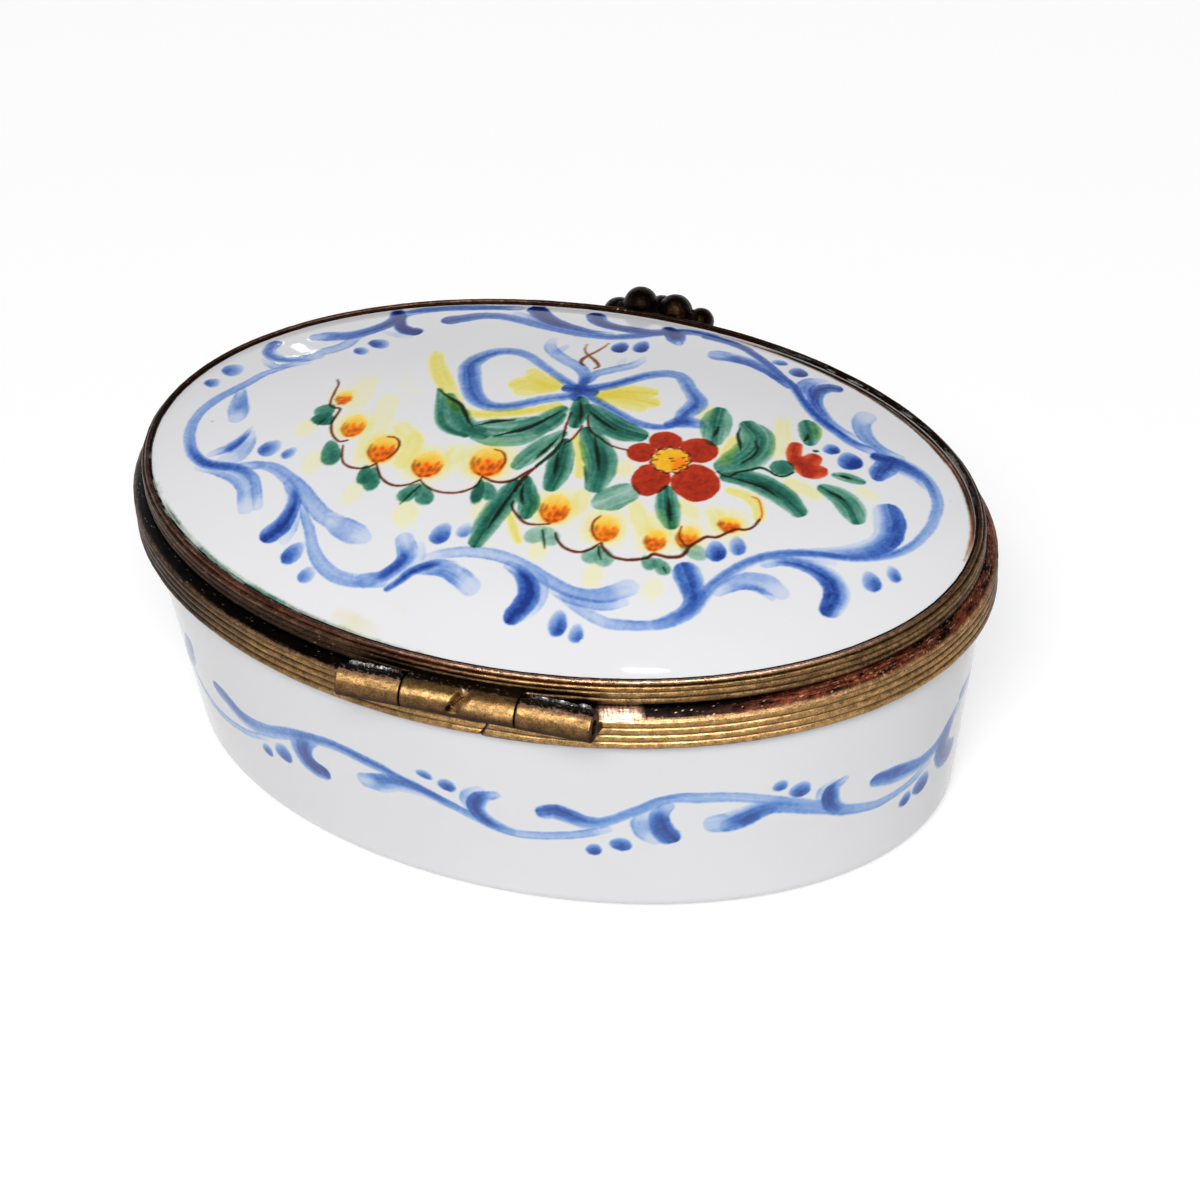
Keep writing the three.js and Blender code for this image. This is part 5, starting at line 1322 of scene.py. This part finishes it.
# Materials
class Nodes:
    """A node tree of a material or the world, with short calls for what those below share.
    What a call hands on is a node and its output."""

    def __init__(self, name, kind="Material"):
        self.holder = (bpy.data.worlds if kind == "World" else bpy.data.materials).new(name)
        self.holder.use_nodes = True
        self.tree = self.holder.node_tree
        self.tree.nodes.clear()
        self.output = self.node("ShaderNodeOutput" + kind)

    def node(self, kind, settings=(), **values):
        """A node, with its settings and then the values of its sockets."""
        made = self.tree.nodes.new(kind)
        for key, value in dict(settings).items():
            setattr(made, key, value)
        for key, value in values.items():
            made.inputs[key.replace("_", " ")].default_value = value
        return made

    def join(self, source, output, target, entry):
        self.tree.links.new(source.outputs[output], target.inputs[entry])

    def feed(self, target, entry, x):
        """Sets a socket to a number or a colour, or joins it to a node's output."""
        if isinstance(x, (int, float)):
            target.inputs[entry].default_value = x
        elif isinstance(x[0], (int, float)):
            target.inputs[entry].default_value = (*x, 1)
        else:
            self.join(*x, target, entry)

    def value(self, name):
        """Numbers or colours kept at the mesh's points."""
        return self.node("ShaderNodeAttribute", {"attribute_name": name})

    def noise(self, scale, detail=3.0, rough=0.55, stretch=None):
        """Noise over the piece's own place in metres, with cells per metre."""
        place = self.node("ShaderNodeTexCoord")
        made = self.node("ShaderNodeTexNoise", Scale=scale, Detail=detail, Roughness=rough)
        if stretch:
            turned = self.node("ShaderNodeMapping", Scale=stretch)
            self.join(place, "Object", turned, 0)
            self.join(turned, 0, made, "Vector")
        else:
            self.join(place, "Object", made, "Vector")
        return made

    def ramp(self, source, output, stops):
        """A ramp from stops: each a place and a grey or a colour."""
        made = self.node("ShaderNodeValToRGB")
        spots = made.color_ramp.elements
        while len(spots) < len(stops):
            spots.new(0.5)
        for spot, (at, level) in zip(spots, stops):
            spot.position = at
            spot.color = (*level, 1) if isinstance(level, tuple) else (level, level, level, 1)
        self.join(source, output, made, 0)
        return made

    def math(self, operation, a, b, clamp=False):
        made = self.node("ShaderNodeMath", {"operation": operation, "use_clamp": clamp})
        for k, x in enumerate((a, b)):
            self.feed(made, k, x)
        return made, 0

    def mix(self, kind, share, a, b):
        made = self.node("ShaderNodeMix", {"data_type": "RGBA", "blend_type": kind})
        for k, x in ((0, share), (6, a), (7, b)):  # sockets of a mix of colours
            self.feed(made, k, x)
        return made, 2

    def bump(self, height, strength, distance, below=None):
        made = self.node("ShaderNodeBump", Strength=strength, Distance=distance)
        self.join(*height, made, "Height")
        if below:
            self.join(*below, made, "Normal")
        return made, 0

    def surface(self, colour, rough, normal, **values):
        made = self.node("ShaderNodeBsdfPrincipled", **values)
        for entry, x in (("Base Color", colour), ("Roughness", rough), ("Normal", normal)):
            self.join(*x, made, entry)
        self.join(made, 0, self.output, "Surface")
        return self.holder

    def seen(self):
        """1 for what the camera, mirrors and glass see, and 0 for what lights the scene."""
        path = self.node("ShaderNodeLightPath")
        total = path, "Is Camera Ray"
        for kind in ("Is Glossy Ray", "Is Transmission Ray"):
            total = self.math("MAXIMUM", total, (path, kind))
        return total


def glaze():
    """Clear gloss glaze over the painting, with faint ripples and pinholes."""
    n = Nodes("glazed_porcelain")
    paint = n.value("paint")
    cloud = n.ramp(n.noise(90, 3), 0, [(0.3, 0.975), (0.7, 1.0)])
    colour = n.mix("MULTIPLY", 1.0, (paint, "Color"), (cloud, 0))
    pits = n.noise(1500, 2, 0.5)
    pit = n.ramp(pits, 0, [(0.17, 0.72), (0.2, 1.0)])
    colour = n.mix("MULTIPLY", 1.0, colour, (pit, 0))
    enamel = (n.value("enamel"), "Fac")
    wavy = n.ramp(n.noise(260, 2), 0, [(0.3, 0.025), (0.7, 0.05)])
    rough = n.math("MULTIPLY_ADD", enamel, 0.1)
    n.join(wavy, 0, rough[0], 2)
    ripple = n.bump((n.noise(330, 2, 0.5), 0), 0.25, 0.00003)
    relief = n.bump(enamel, 0.5, 0.00003, ripple)
    return n.surface(colour, rough, relief, IOR=1.5)


def old_brass(name, speckle, spark):
    """Aged brass. The tarnish, painted highlights and painted shade come from the mesh, and fine
    pits and rubbing from noise.
    """
    n = Nodes(name)
    tone = n.value("tone")
    blotch = n.ramp(n.noise(1600, 5, 0.7), 0, [(0.3, 0.5), (0.5, 0.95), (0.66, 1.35)])
    colour = n.mix("MULTIPLY", 1.0, (tone, "Color"), (blotch, 0))
    grain = n.noise(8200, 4, 0.7)
    dark = n.ramp(grain, 0, [(0.36, 0.3), (0.5, 1.0), (0.66, 1.5)])
    colour = n.mix("MULTIPLY", speckle, colour, (dark, 0))
    dull = n.value("dull")
    mottle = n.ramp(n.noise(2600, 4, 0.6), 0, [(0.3, -0.09), (0.7, 0.12)])
    rough = n.math("ADD", (dull, "Fac"), (mottle, 0), True)
    drawn = n.bump((n.noise(2100, 4, 0.6, (0.2, 0.2, 3.0)), 0), 0.5, 0.00006)
    pitted = n.bump((grain, 0), spark, 0.00005, drawn)
    return n.surface(colour, rough, pitted, Metallic=1.0)


def solder_metal():
    """Blackened solder, silver where the mesh says that its heaps shine."""
    n = Nodes("old_solder")
    fine = n.noise(4200, 4, 0.7)
    black = n.ramp(fine, 0, [(0.45, (0.010, 0.008, 0.008)), (0.62, (0.06, 0.045, 0.04)),
                             (0.68, (0.75, 0.72, 0.68))])
    silver = n.ramp(fine, 0, [(0.4, (0.02, 0.02, 0.02)), (0.5, (0.6, 0.6, 0.59)),
                              (0.6, (0.95, 0.95, 0.94))])
    share = n.math("MULTIPLY", (n.value("shine"), "Fac"), 1.9, True)
    colour = n.mix("MIX", share, (black, 0), (silver, 0))
    rough = (n.ramp(n.noise(2500, 3), 0, [(0.3, 0.15), (0.7, 0.4)]), 0)
    coarse = n.bump((n.noise(2300, 3, 0.6), 0), 0.9, 0.00016)
    return n.surface(colour, rough, n.bump((fine, 0), 0.9, 0.0001, coarse), Metallic=0.65)


def cement_paste():
    """Matt grit."""
    n = Nodes("old_cement")
    grit = n.noise(2400, 5, 0.7)
    colour = (n.ramp(grit, 0, [(0.3, (0.42, 0.36, 0.27)), (0.7, (0.7, 0.65, 0.54))]), 0)
    rough = (n.ramp(n.noise(900), 0, [(0.3, 0.8), (0.7, 0.95)]), 0)
    return n.surface(colour, rough, n.bump((grit, 0), 0.6, 0.0001))


# Camera, floor and lights
VIEW_TURN = math.radians(20.0166)  # round from the hinge side
VIEW_RISE = math.radians(41.9816)
VIEW_ROLL = math.radians(-3.3006)
VIEW_DISTANCE = 300.0
VIEW_FOCUS = 3897.09 / 1200  # focal length over the frame's width
VIEW_AIM = np.array([0.0, 0.0, 6.02345])
VIEW_OFFSET = (2.38461, 5.14448)
SENSOR = 36.0
FLOOR_HALF = 3.0
FLOOR_DROP = 0.00002
WORLD_TOP, WORLD_FILL = 0.2, 0.17  # white overhead where it shows, and all round where it lights


def make_camera():
    back = np.array([math.sin(VIEW_TURN) * math.cos(VIEW_RISE),
                     -math.cos(VIEW_TURN) * math.cos(VIEW_RISE), math.sin(VIEW_RISE)])
    level = np.array([math.cos(VIEW_TURN), math.sin(VIEW_TURN), 0.0])
    upright = np.cross(back, level)
    right = math.cos(VIEW_ROLL) * level + math.sin(VIEW_ROLL) * upright
    up = -math.sin(VIEW_ROLL) * level + math.cos(VIEW_ROLL) * upright
    place = VIEW_AIM + back * VIEW_DISTANCE + right * VIEW_OFFSET[0] + up * VIEW_OFFSET[1]
    data = bpy.data.cameras.new("photo_view")
    data.sensor_width = SENSOR
    data.lens = SENSOR * VIEW_FOCUS
    data.clip_start = 0.01
    camera = bpy.data.objects.new("photo_view", data)
    LINK(camera)
    matrix = np.eye(4)
    matrix[:3, 0], matrix[:3, 1], matrix[:3, 2], matrix[:3, 3] = right, up, back, place * MM
    camera.matrix_world = Matrix(matrix)
    bpy.context.scene.camera = camera


def make_lamp(name, turn, rise, distance, width, height, strength, aim=(0, 0, 12)):
    """A soft box that faces a place on the object, in millimetres. Turn is round from the hinge
    side, towards +X."""
    turn, rise = math.radians(turn), math.radians(rise)
    data = bpy.data.lights.new(name, "AREA")
    data.shape, data.size, data.size_y = "RECTANGLE", width, height
    data.energy = strength * math.pi * width * height
    lamp = bpy.data.objects.new(name, data)
    LINK(lamp)
    toward = Vector((math.sin(turn) * math.cos(rise), -math.cos(turn) * math.cos(rise),
                     math.sin(rise)))
    lamp.location = toward * distance + Vector(aim) * MM
    lamp.rotation_euler = toward.to_track_quat("Z", "Y").to_euler()
    return lamp


def make_floor():
    """White paper where it shows, with the object's shadow, which lights the object as pale grey
    paper does."""
    mesh = bpy.data.meshes.new("floor")
    mesh.from_pydata([(FLOOR_HALF * i, FLOOR_HALF * j, 0)
                      for i, j in ((-1, -1), (1, -1), (1, 1), (-1, 1))], [], [(0, 1, 2, 3)])
    floor = bpy.data.objects.new("floor", mesh)
    floor.location.z = -FLOOR_DROP
    LINK(floor)
    n = Nodes("floor_paper")
    plain = n.node("ShaderNodeBsdfDiffuse", Color=(0.6, 0.6, 0.6, 1))
    shown = n.node("ShaderNodeBsdfDiffuse", Color=(0.42, 0.42, 0.42, 1))
    glow = n.node("ShaderNodeEmission", Color=(1, 1, 1, 1), Strength=0.62)
    both, pick = n.node("ShaderNodeAddShader"), n.node("ShaderNodeMixShader")
    for k, source in enumerate((shown, glow)):
        n.join(source, 0, both, k)
    n.join(*n.seen(), pick, 0)
    for k, source in enumerate((plain, both)):
        n.join(source, 0, pick, k + 1)
    n.join(pick, 0, n.output, "Surface")
    mesh.materials.append(n.holder)


def make_world():
    """White near the horizon and dimmer overhead where it shows, and an even dim light."""
    n = Nodes("studio", "World")
    bpy.context.scene.world = n.holder
    split = n.node("ShaderNodeSeparateXYZ")
    n.join(n.node("ShaderNodeTexCoord"), "Generated", split, 0)
    sky = n.ramp(split, "Z", [(0.02, 1.0), (0.34, WORLD_TOP)])
    light = n.mix("MIX", n.seen(), (WORLD_FILL, WORLD_FILL, WORLD_FILL), (sky, 0))
    glow = n.node("ShaderNodeBackground")
    n.join(*light, glow, "Color")
    n.join(glow, 0, n.output, "Surface")


# Tarnish, painted highlights and painted shade, as colours and dullness kept at the mesh's points
# the first colour is for painted highlights
PAINTED_HIGHLIGHT = np.array([0.80, 0.48, 0.19])
GILT = np.array([0.36, 0.20, 0.072])
BRONZE = np.array([0.12, 0.063, 0.027])
UMBER = np.array([0.042, 0.022, 0.013])
# near black, for tarnish and for painted shade in grooves, seams and gaps
BLACK_TARNISH_AND_SHADE = np.array([0.006, 0.004, 0.0035])
COPPER = np.array([0.25, 0.08, 0.045])
PINK = np.array([0.56, 0.33, 0.23])
CRUST = np.array([0.62, 0.64, 0.58])


def toward(colours, target, share):
    share = np.clip(share, 0, 1)[..., None]
    return colours * (1 - share) + target * share


def layered(ground, shape, *layers):
    """Colours at a grid or list of points: a ground, and over it each layer's colour and share."""
    tone = np.broadcast_to(ground, (*shape, 3))
    for colour, share in layers:
        tone = toward(tone, colour, share)
    return tone


def finish_piece(piece, material, tone=None, dull=None):
    if tone is not None:
        keep_values(piece, "tone", tone.reshape(-1, 3))
        keep_values(piece, "dull", np.broadcast_to(dull, tone.shape[:-1]).reshape(-1))
    piece.data.materials.clear()
    piece.data.materials.append(material)


def keep_paint(piece, colour, coat):
    """Painting at a mesh's points. The points past the list, in the caps, are bare."""
    spare = len(piece.data.vertices) - len(coat)
    colour = np.concatenate([linear(PAPER * colour), np.full((spare, 3), linear(PAPER))])
    keep_values(piece, "paint", colour)
    keep_values(piece, "enamel", np.concatenate([coat, np.zeros(spare)]))


def build_base_mount(material):
    made = make_mount("base_mount", "base", "base_bezel", base_mount_rows(), 11, True)
    piece, part, run, turn, inset, height, groove = made
    depth = height + inset  # distance over the ridges and then across the ledge
    cloud = 0.5 * noise2(turn * 1.3, depth * 0.8, 21) + 0.3 * noise2(turn * 4, depth * 1.7, 22)
    streak = noise2(turn * 3, depth * 9, 23) + 0.6 * noise2(turn * 17, depth * 4, 24)
    fleck = noise2(turn * 13, depth * 11, 25) + 0.5 * noise2(turn * 37, depth * 23, 26)
    crinkle = noise2(turn * 30, depth * 2, 27)
    ridges, shoulder = part == 0, part == 1
    front, bright = plateau(run, -20, 44, 7), plateau(run, -4, 30, 9)
    right, right_end = plateau(run, 24, 62, 7), plateau(run, 46, 84, 9)
    by_hinge = plateau(run, 10.2, 12.9, 0.5)
    clean = 1 - 0.5 * plateau(run, 34, 80, 9)  # grooves less blackened towards the right end
    rise = (height - SHOULDER) / (SEAM - SHOULDER) + 0.12 * streak
    crest = (1 - smooth(rise, 0.12, 0.42)) * shoulder
    patina = (0.5 + 0.6 * cloud + 0.55 * streak) * right
    specks = smooth(fleck + 0.3 * right, 1.0, 1.15)
    tone = layered(
        UMBER * 1.1, inset.shape,
        (BRONZE, 0.2 + 0.4 * cloud),
        # gilt in front: tarnish, with painted light where the front lamp falls
        (GILT, front * (0.8 + 0.4 * cloud)),
        # painted highlight on the upper half of each ridge, in front, and painted shade on its
        # lower half
        (PAINTED_HIGHLIGHT, ridges * bright * bell(groove, 0.25, 0.22) * (0.7 + 0.4 * streak)),
        (UMBER, ridges * smooth(-groove, 0.0, 0.3) * 0.6),
        # the grooves black: tarnish and painted shade
        (BLACK_TARNISH_AND_SHADE, ridges * smooth(-groove, 0.06, 0.36) * 0.9 * clean),
        (BLACK_TARNISH_AND_SHADE, ridges * smooth(groove, 0.46, 0.7) * 0.92 * clean),
        (UMBER, ridges * smooth(streak, 0.4, 1.1) * 0.5),
        # the shoulder: black in front, as tarnish with painted shadow under the lid mount, and
        # copper to the right, with a painted highlight along its crest and by the hinge
        (toward(BLACK_TARNISH_AND_SHADE, COPPER * [1.5, 1.2, 1.0], patina), shoulder * smooth(rise, 0.12, 0.38)),
        ((PINK + PAINTED_HIGHLIGHT) / 2, crest * front * (0.6 + 0.5 * streak)),
        (PINK * 0.5, crest * (1 - front) * (0.5 + 0.6 * streak)),
        (PINK * 1.4, shoulder * by_hinge * (0.7 + 0.5 * crinkle)),
        (BRONZE, shoulder * by_hinge * smooth(-crinkle, 0.15, 0.6) * 0.6),
        (PINK * 1.3, shoulder * (1 - by_hinge) * specks * 0.75),
        (UMBER, (part == 2) * 0.7 + ridges * right_end * (0.25 + 0.3 * streak)),
    )
    dull = 0.28 + 0.1 * (1 - front) + 0.3 * smooth(np.abs(groove), 0.5, 0.9) + 0.2 * (part == 2)
    finish_piece(piece, material, tone, dull - 0.06 * cloud + 0.15 * right * shoulder)


def build_lid_mount(material):
    made = make_mount("lid_mount", "lid", "lid_bezel", lid_mount_rows(), 31)
    piece, part, run, turn, inset, height, groove = made
    cloud = 0.5 * noise2(turn * 1.1, height * 0.8, 41) + 0.3 * noise2(turn * 5, height * 1.9, 42)
    streak = noise2(turn * 3, height * 6, 43) + 0.6 * noise2(turn * 15, height * 4, 44)
    fleck = noise2(turn * 13, height * 11, 45) + 0.5 * noise2(turn * 37, inset * 23, 46)
    flake = noise2(turn * 2.3, inset * 6, 47) + 0.6 * noise2(turn * 8, inset * 15, 48)
    ridges, lip = part == 0, part == 1
    climb = np.arange(len(part))[:, None] / ridges.sum() * ridges
    front = 0.45 * plateau(run, 3, 44, 9) + 0.55 * plateau(run, 0, 14, 7)
    near, by_hinge = plateau(run, -6, 34, 10), plateau(run, -26, 10, 4)
    right_far, left_far = plateau(run, 52, 95, 9) + (run < -78), plateau(run, -78, -52, 8)
    left_near = plateau(run, -52, -8, 7) * plateau(climb, 0.5, 0.96, 0.1)
    crusty = plateau(run, -38, -14, 6) + 0.8 * plateau(run, 52, 72, 5)
    tone = layered(
        UMBER * 1.3, inset.shape,
        (BRONZE, 0.35 + 0.6 * cloud),
        # gilt in front: tarnish, with painted light where the front lamp falls
        (GILT, front * (0.3 + 0.5 * plateau(climb, 0.3, 0.85, 0.15) + 0.4 * cloud)),
        # painted highlights on the ridges in front and along the crest near the hinge
        (PAINTED_HIGHLIGHT, front * bell(groove, 0.2, 0.15) * (0.5 + 0.6 * streak) * ridges),
        (PINK * 1.5, near * plateau(climb, 0.82, 0.95, 0.05) * (0.8 + 0.4 * streak)),
        (COPPER, plateau(climb, 0.7, 1.0, 0.1) * (1 - near) * (0.2 + 0.4 * streak)),
        # the grooves black: tarnish and painted shade
        (BLACK_TARNISH_AND_SHADE, ridges * smooth(-groove, 0.1, 0.45) * 0.8),
        (BLACK_TARNISH_AND_SHADE, ridges * smooth(groove, 0.45, 0.8) * 0.8),
        (BLACK_TARNISH_AND_SHADE, ridges * smooth(streak, 0.2, 1.0) * (0.2 + 0.4 * (1 - near))),
        # painted shade at the foot of the mount, over the seam, narrower in front
        (BLACK_TARNISH_AND_SHADE, ridges * (1 - smooth(climb, 0.04, 0.3 - 0.2 * near)) * 0.85),
        (UMBER, ridges * by_hinge * (1 - smooth(climb, 0.4, 0.6)) * 0.75),
        (COPPER, ridges * by_hinge * smooth(climb, 0.5, 0.7) * (0.3 + 0.3 * cloud)),
        (COPPER * 0.1, np.maximum(lip, smooth(climb, 0.955, 0.985))),
        (BLACK_TARNISH_AND_SHADE, ridges * right_far * 0.75),
        (PINK * 0.25, ridges * left_far * (0.4 + 0.4 * streak)),
        # streaks of painted highlight on the left third
        (PINK * 0.4, left_near * smooth(streak, 0.1, 0.8) * 0.6),
        # pale crust and worn flecks where the mount meets the glaze
        (CRUST, np.maximum(lip, smooth(climb, 0.93, 0.97)) * crusty * smooth(flake, 0.15, 0.6)),
        (PINK, ridges * smooth(fleck, 0.95, 1.15) * 0.7),
    )
    dull = 0.32 - 0.06 * front + 0.25 * smooth(np.abs(groove), 0.4, 0.8) + 0.12 * cloud
    finish_piece(piece, material, tone, dull)


def build_knuckle(name, body, node, outline, seed, material, dent=None):
    piece = make_knuckle(name, body, node, outline, seed, dent)
    co = read_vectors(piece.data, "co") / MM
    along, away, up = co[:, 0], co[:, 1] - HINGE_Y, co[:, 2] - HINGE_Z
    past_top = (np.arctan2(up, away) - math.pi / 2 + math.pi) % (2 * math.pi) - math.pi
    cloud = noise2(along * 0.8, past_top * 2, seed + 5)
    streak = noise2(along * 5, past_top * 9, seed + 6)
    flecks = noise2(along * 7, past_top * 14, seed + 7)
    ragged = past_top + 0.1 * streak + 0.08 * cloud
    if dent:
        fold = past_fold(along, past_top + math.pi / 2)
        folded = fold_share(past_top + math.pi / 2)
        lit = bell(past_top, 0.75 + 0.25 * smooth(fold, -0.2, 0.4), 0.28)
        behind = 1 - smooth(ragged, -0.3, -0.05)
        # painted highlight along the barrel, and by the pinch a painted highlight on the right
        # facet and painted shade on the left
        painted_light = [(PAINTED_HIGHLIGHT * 1.15, lit * (0.65 + 0.5 * cloud + 0.35 * streak)),
                (PAINTED_HIGHLIGHT, folded * bell(fold, 0.3, 0.2) * 0.8),
                (BLACK_TARNISH_AND_SHADE, folded * bell(fold, -0.2, 0.16) * 0.9)]
    else:
        bright = 1.2 * bell(past_top, 0.42, 0.19) + 0.3 * bell(past_top, 0.85, 0.3)
        behind = 1 - smooth(ragged, 0.04, 0.2)
        # painted highlight band along the barrel's top, with a pinkish painted highlight at its
        # edge
        painted_light = [(PAINTED_HIGHLIGHT, bright * (0.8 + 0.3 * streak)),
                (COPPER * 0.8 + PINK, bell(past_top + 0.12 * streak, 0.2, 0.11))]
    low, high = span(node)
    edge = np.minimum(along - low[0], high[0] - along)
    tone = layered(
        GILT, co.shape[:1],
        (BRONZE, 0.25 + 0.5 * cloud),
        # darker towards the barrel's underside: painted shade
        (BRONZE, smooth(past_top, 0.6, 1.35) * 0.85),
        (UMBER, smooth(np.abs(past_top), 1.35, 2.1)),
        *painted_light,
        (BLACK_TARNISH_AND_SHADE, behind * 0.95),
        (CRUST, behind * (past_top > -0.9) * smooth(flecks, 0.6, 0.8) * 0.7),
        # painted shade at the knuckle's ends, in the gaps between knuckles
        (BLACK_TARNISH_AND_SHADE, (1 - smooth(edge, 0.0, 0.07)) * 0.7),
        # painted shade inside the bore
        (UMBER, np.hypot(away, up) < BORE + 0.12),
    )
    dull = 0.35 + 0.08 * cloud + 0.1 * behind + 0.4 * smooth(past_top, 1.4, 1.9)
    finish_piece(piece, material, tone, dull)


def build_lid_porcelain(material):
    piece, points = make_lid_porcelain()
    sheet = paint_lid()
    colour, coat = sheet.picture()
    x, y, _ = points.T
    on_top = np.arange(len(points)) < LID_COLUMNS * LID_ROWS  # the dome's grid comes first
    keep_paint(piece, np.where(on_top[:, None], sheet.read(colour, x, y), 1),
               np.where(on_top, sheet.read(coat, x, y), 0))
    finish_piece(piece, material)


def build_cup(material):
    piece, points, angles, outside = make_cup()
    sheet = paint_wall()
    colour, coat = sheet.picture()
    run, heights = run_round(angles, BAND_INSET), points[outside, 0, 2]
    in_band = ((heights > BAND_LOW) & (heights < BAND_HIGH))[:, None]
    places = np.broadcast_to(run, (len(heights), len(run))).ravel(), np.repeat(heights, len(run))
    wall_colour, wall_coat = np.ones(points.shape), np.zeros(points.shape[:2])
    read = sheet.read(colour, *places).reshape(-1, len(run), 3)
    wall_colour[outside] = np.where(in_band[..., None], read, 1)
    wall_coat[outside] = np.where(in_band, sheet.read(coat, *places).reshape(-1, len(run)), 0)
    keep_paint(piece, wall_colour.reshape(-1, 3), wall_coat.ravel())
    finish_piece(piece, material)


def build_small_part(piece, material):
    """Dark mottled metal for the pin and the clasp."""
    x, y, z = (read_vectors(piece.data, "co") / MM).T
    mottle = octaves(x * 1.7 + z, y * 1.9 - z * 0.7, 77)
    finish_piece(piece, material, layered(UMBER * 0.2, x.shape, (BRONZE, 0.3 * mottle)),
                 0.3 + 0.1 * mottle)


# Everything put together
glazed = glaze()
brass = old_brass("aged_gilt_brass", 0.75, 0.35)
bronze = old_brass("tarnished_dark_brass", 0.9, 0.6)
silver = solder_metal()
paste = cement_paste()

build_lid_porcelain(glazed)
build_cup(glazed)
build_base_mount(brass)
build_lid_mount(bronze)
build_knuckle("knuckle_left", "base", "hinge_knuckle_left", base_outline, 51, brass)
build_knuckle("knuckle_right", "base", "hinge_knuckle_right", base_outline, 52, brass)
build_knuckle("knuckle_middle", "lid", "hinge_knuckle_lid", lid_outline, 53, brass, knuckle_dent)
finish_piece(make_solder("solder_left", "hinge_solder_left", 61,
                         [(-7.6, 0.45, 1.0), (-6.7, 0.3, 0.7), (-5.7, 0.45, 0.5)]), silver)
finish_piece(make_solder("solder_right", "hinge_solder_right", 64,
                         [(6.2, 0.5, 0.35), (7.6, 0.6, 0.45), (9.2, 0.35, 0.6)]), silver)
for piece in (make_pin(), make_thumbpiece(), make_catch(), make_tongue()):
    build_small_part(piece, bronze)
finish_piece(make_cement("cement_base", "base", "base_cement", CUP_INSET + CUP_WALL), paste)
finish_piece(make_cement("cement_lid", "lid", "lid_cement", FLANGE_OUTER - 0.25), paste)

bpy.context.scene.view_settings.view_transform = "Standard"
make_camera()
make_floor()
make_world()
# Lamps: round from the hinge side, rise, distance, width, height, strength and what they face
make_lamp("key_softbox", 14, 51, 0.9, 0.36, 0.28, 25)
make_lamp("overhead_strip", -152.8, 79.5, 0.9, 0.045, 0.005, 40, (12.5, -17.9, 24.9))
make_lamp("back_glint", -150.3, 13.1, 0.9, 0.008, 0.045, 16, (-23.8, 9.2, 25.4))
make_lamp("back_fill", 200, 10, 0.9, 0.6, 0.4, 2.6).visible_glossy = False
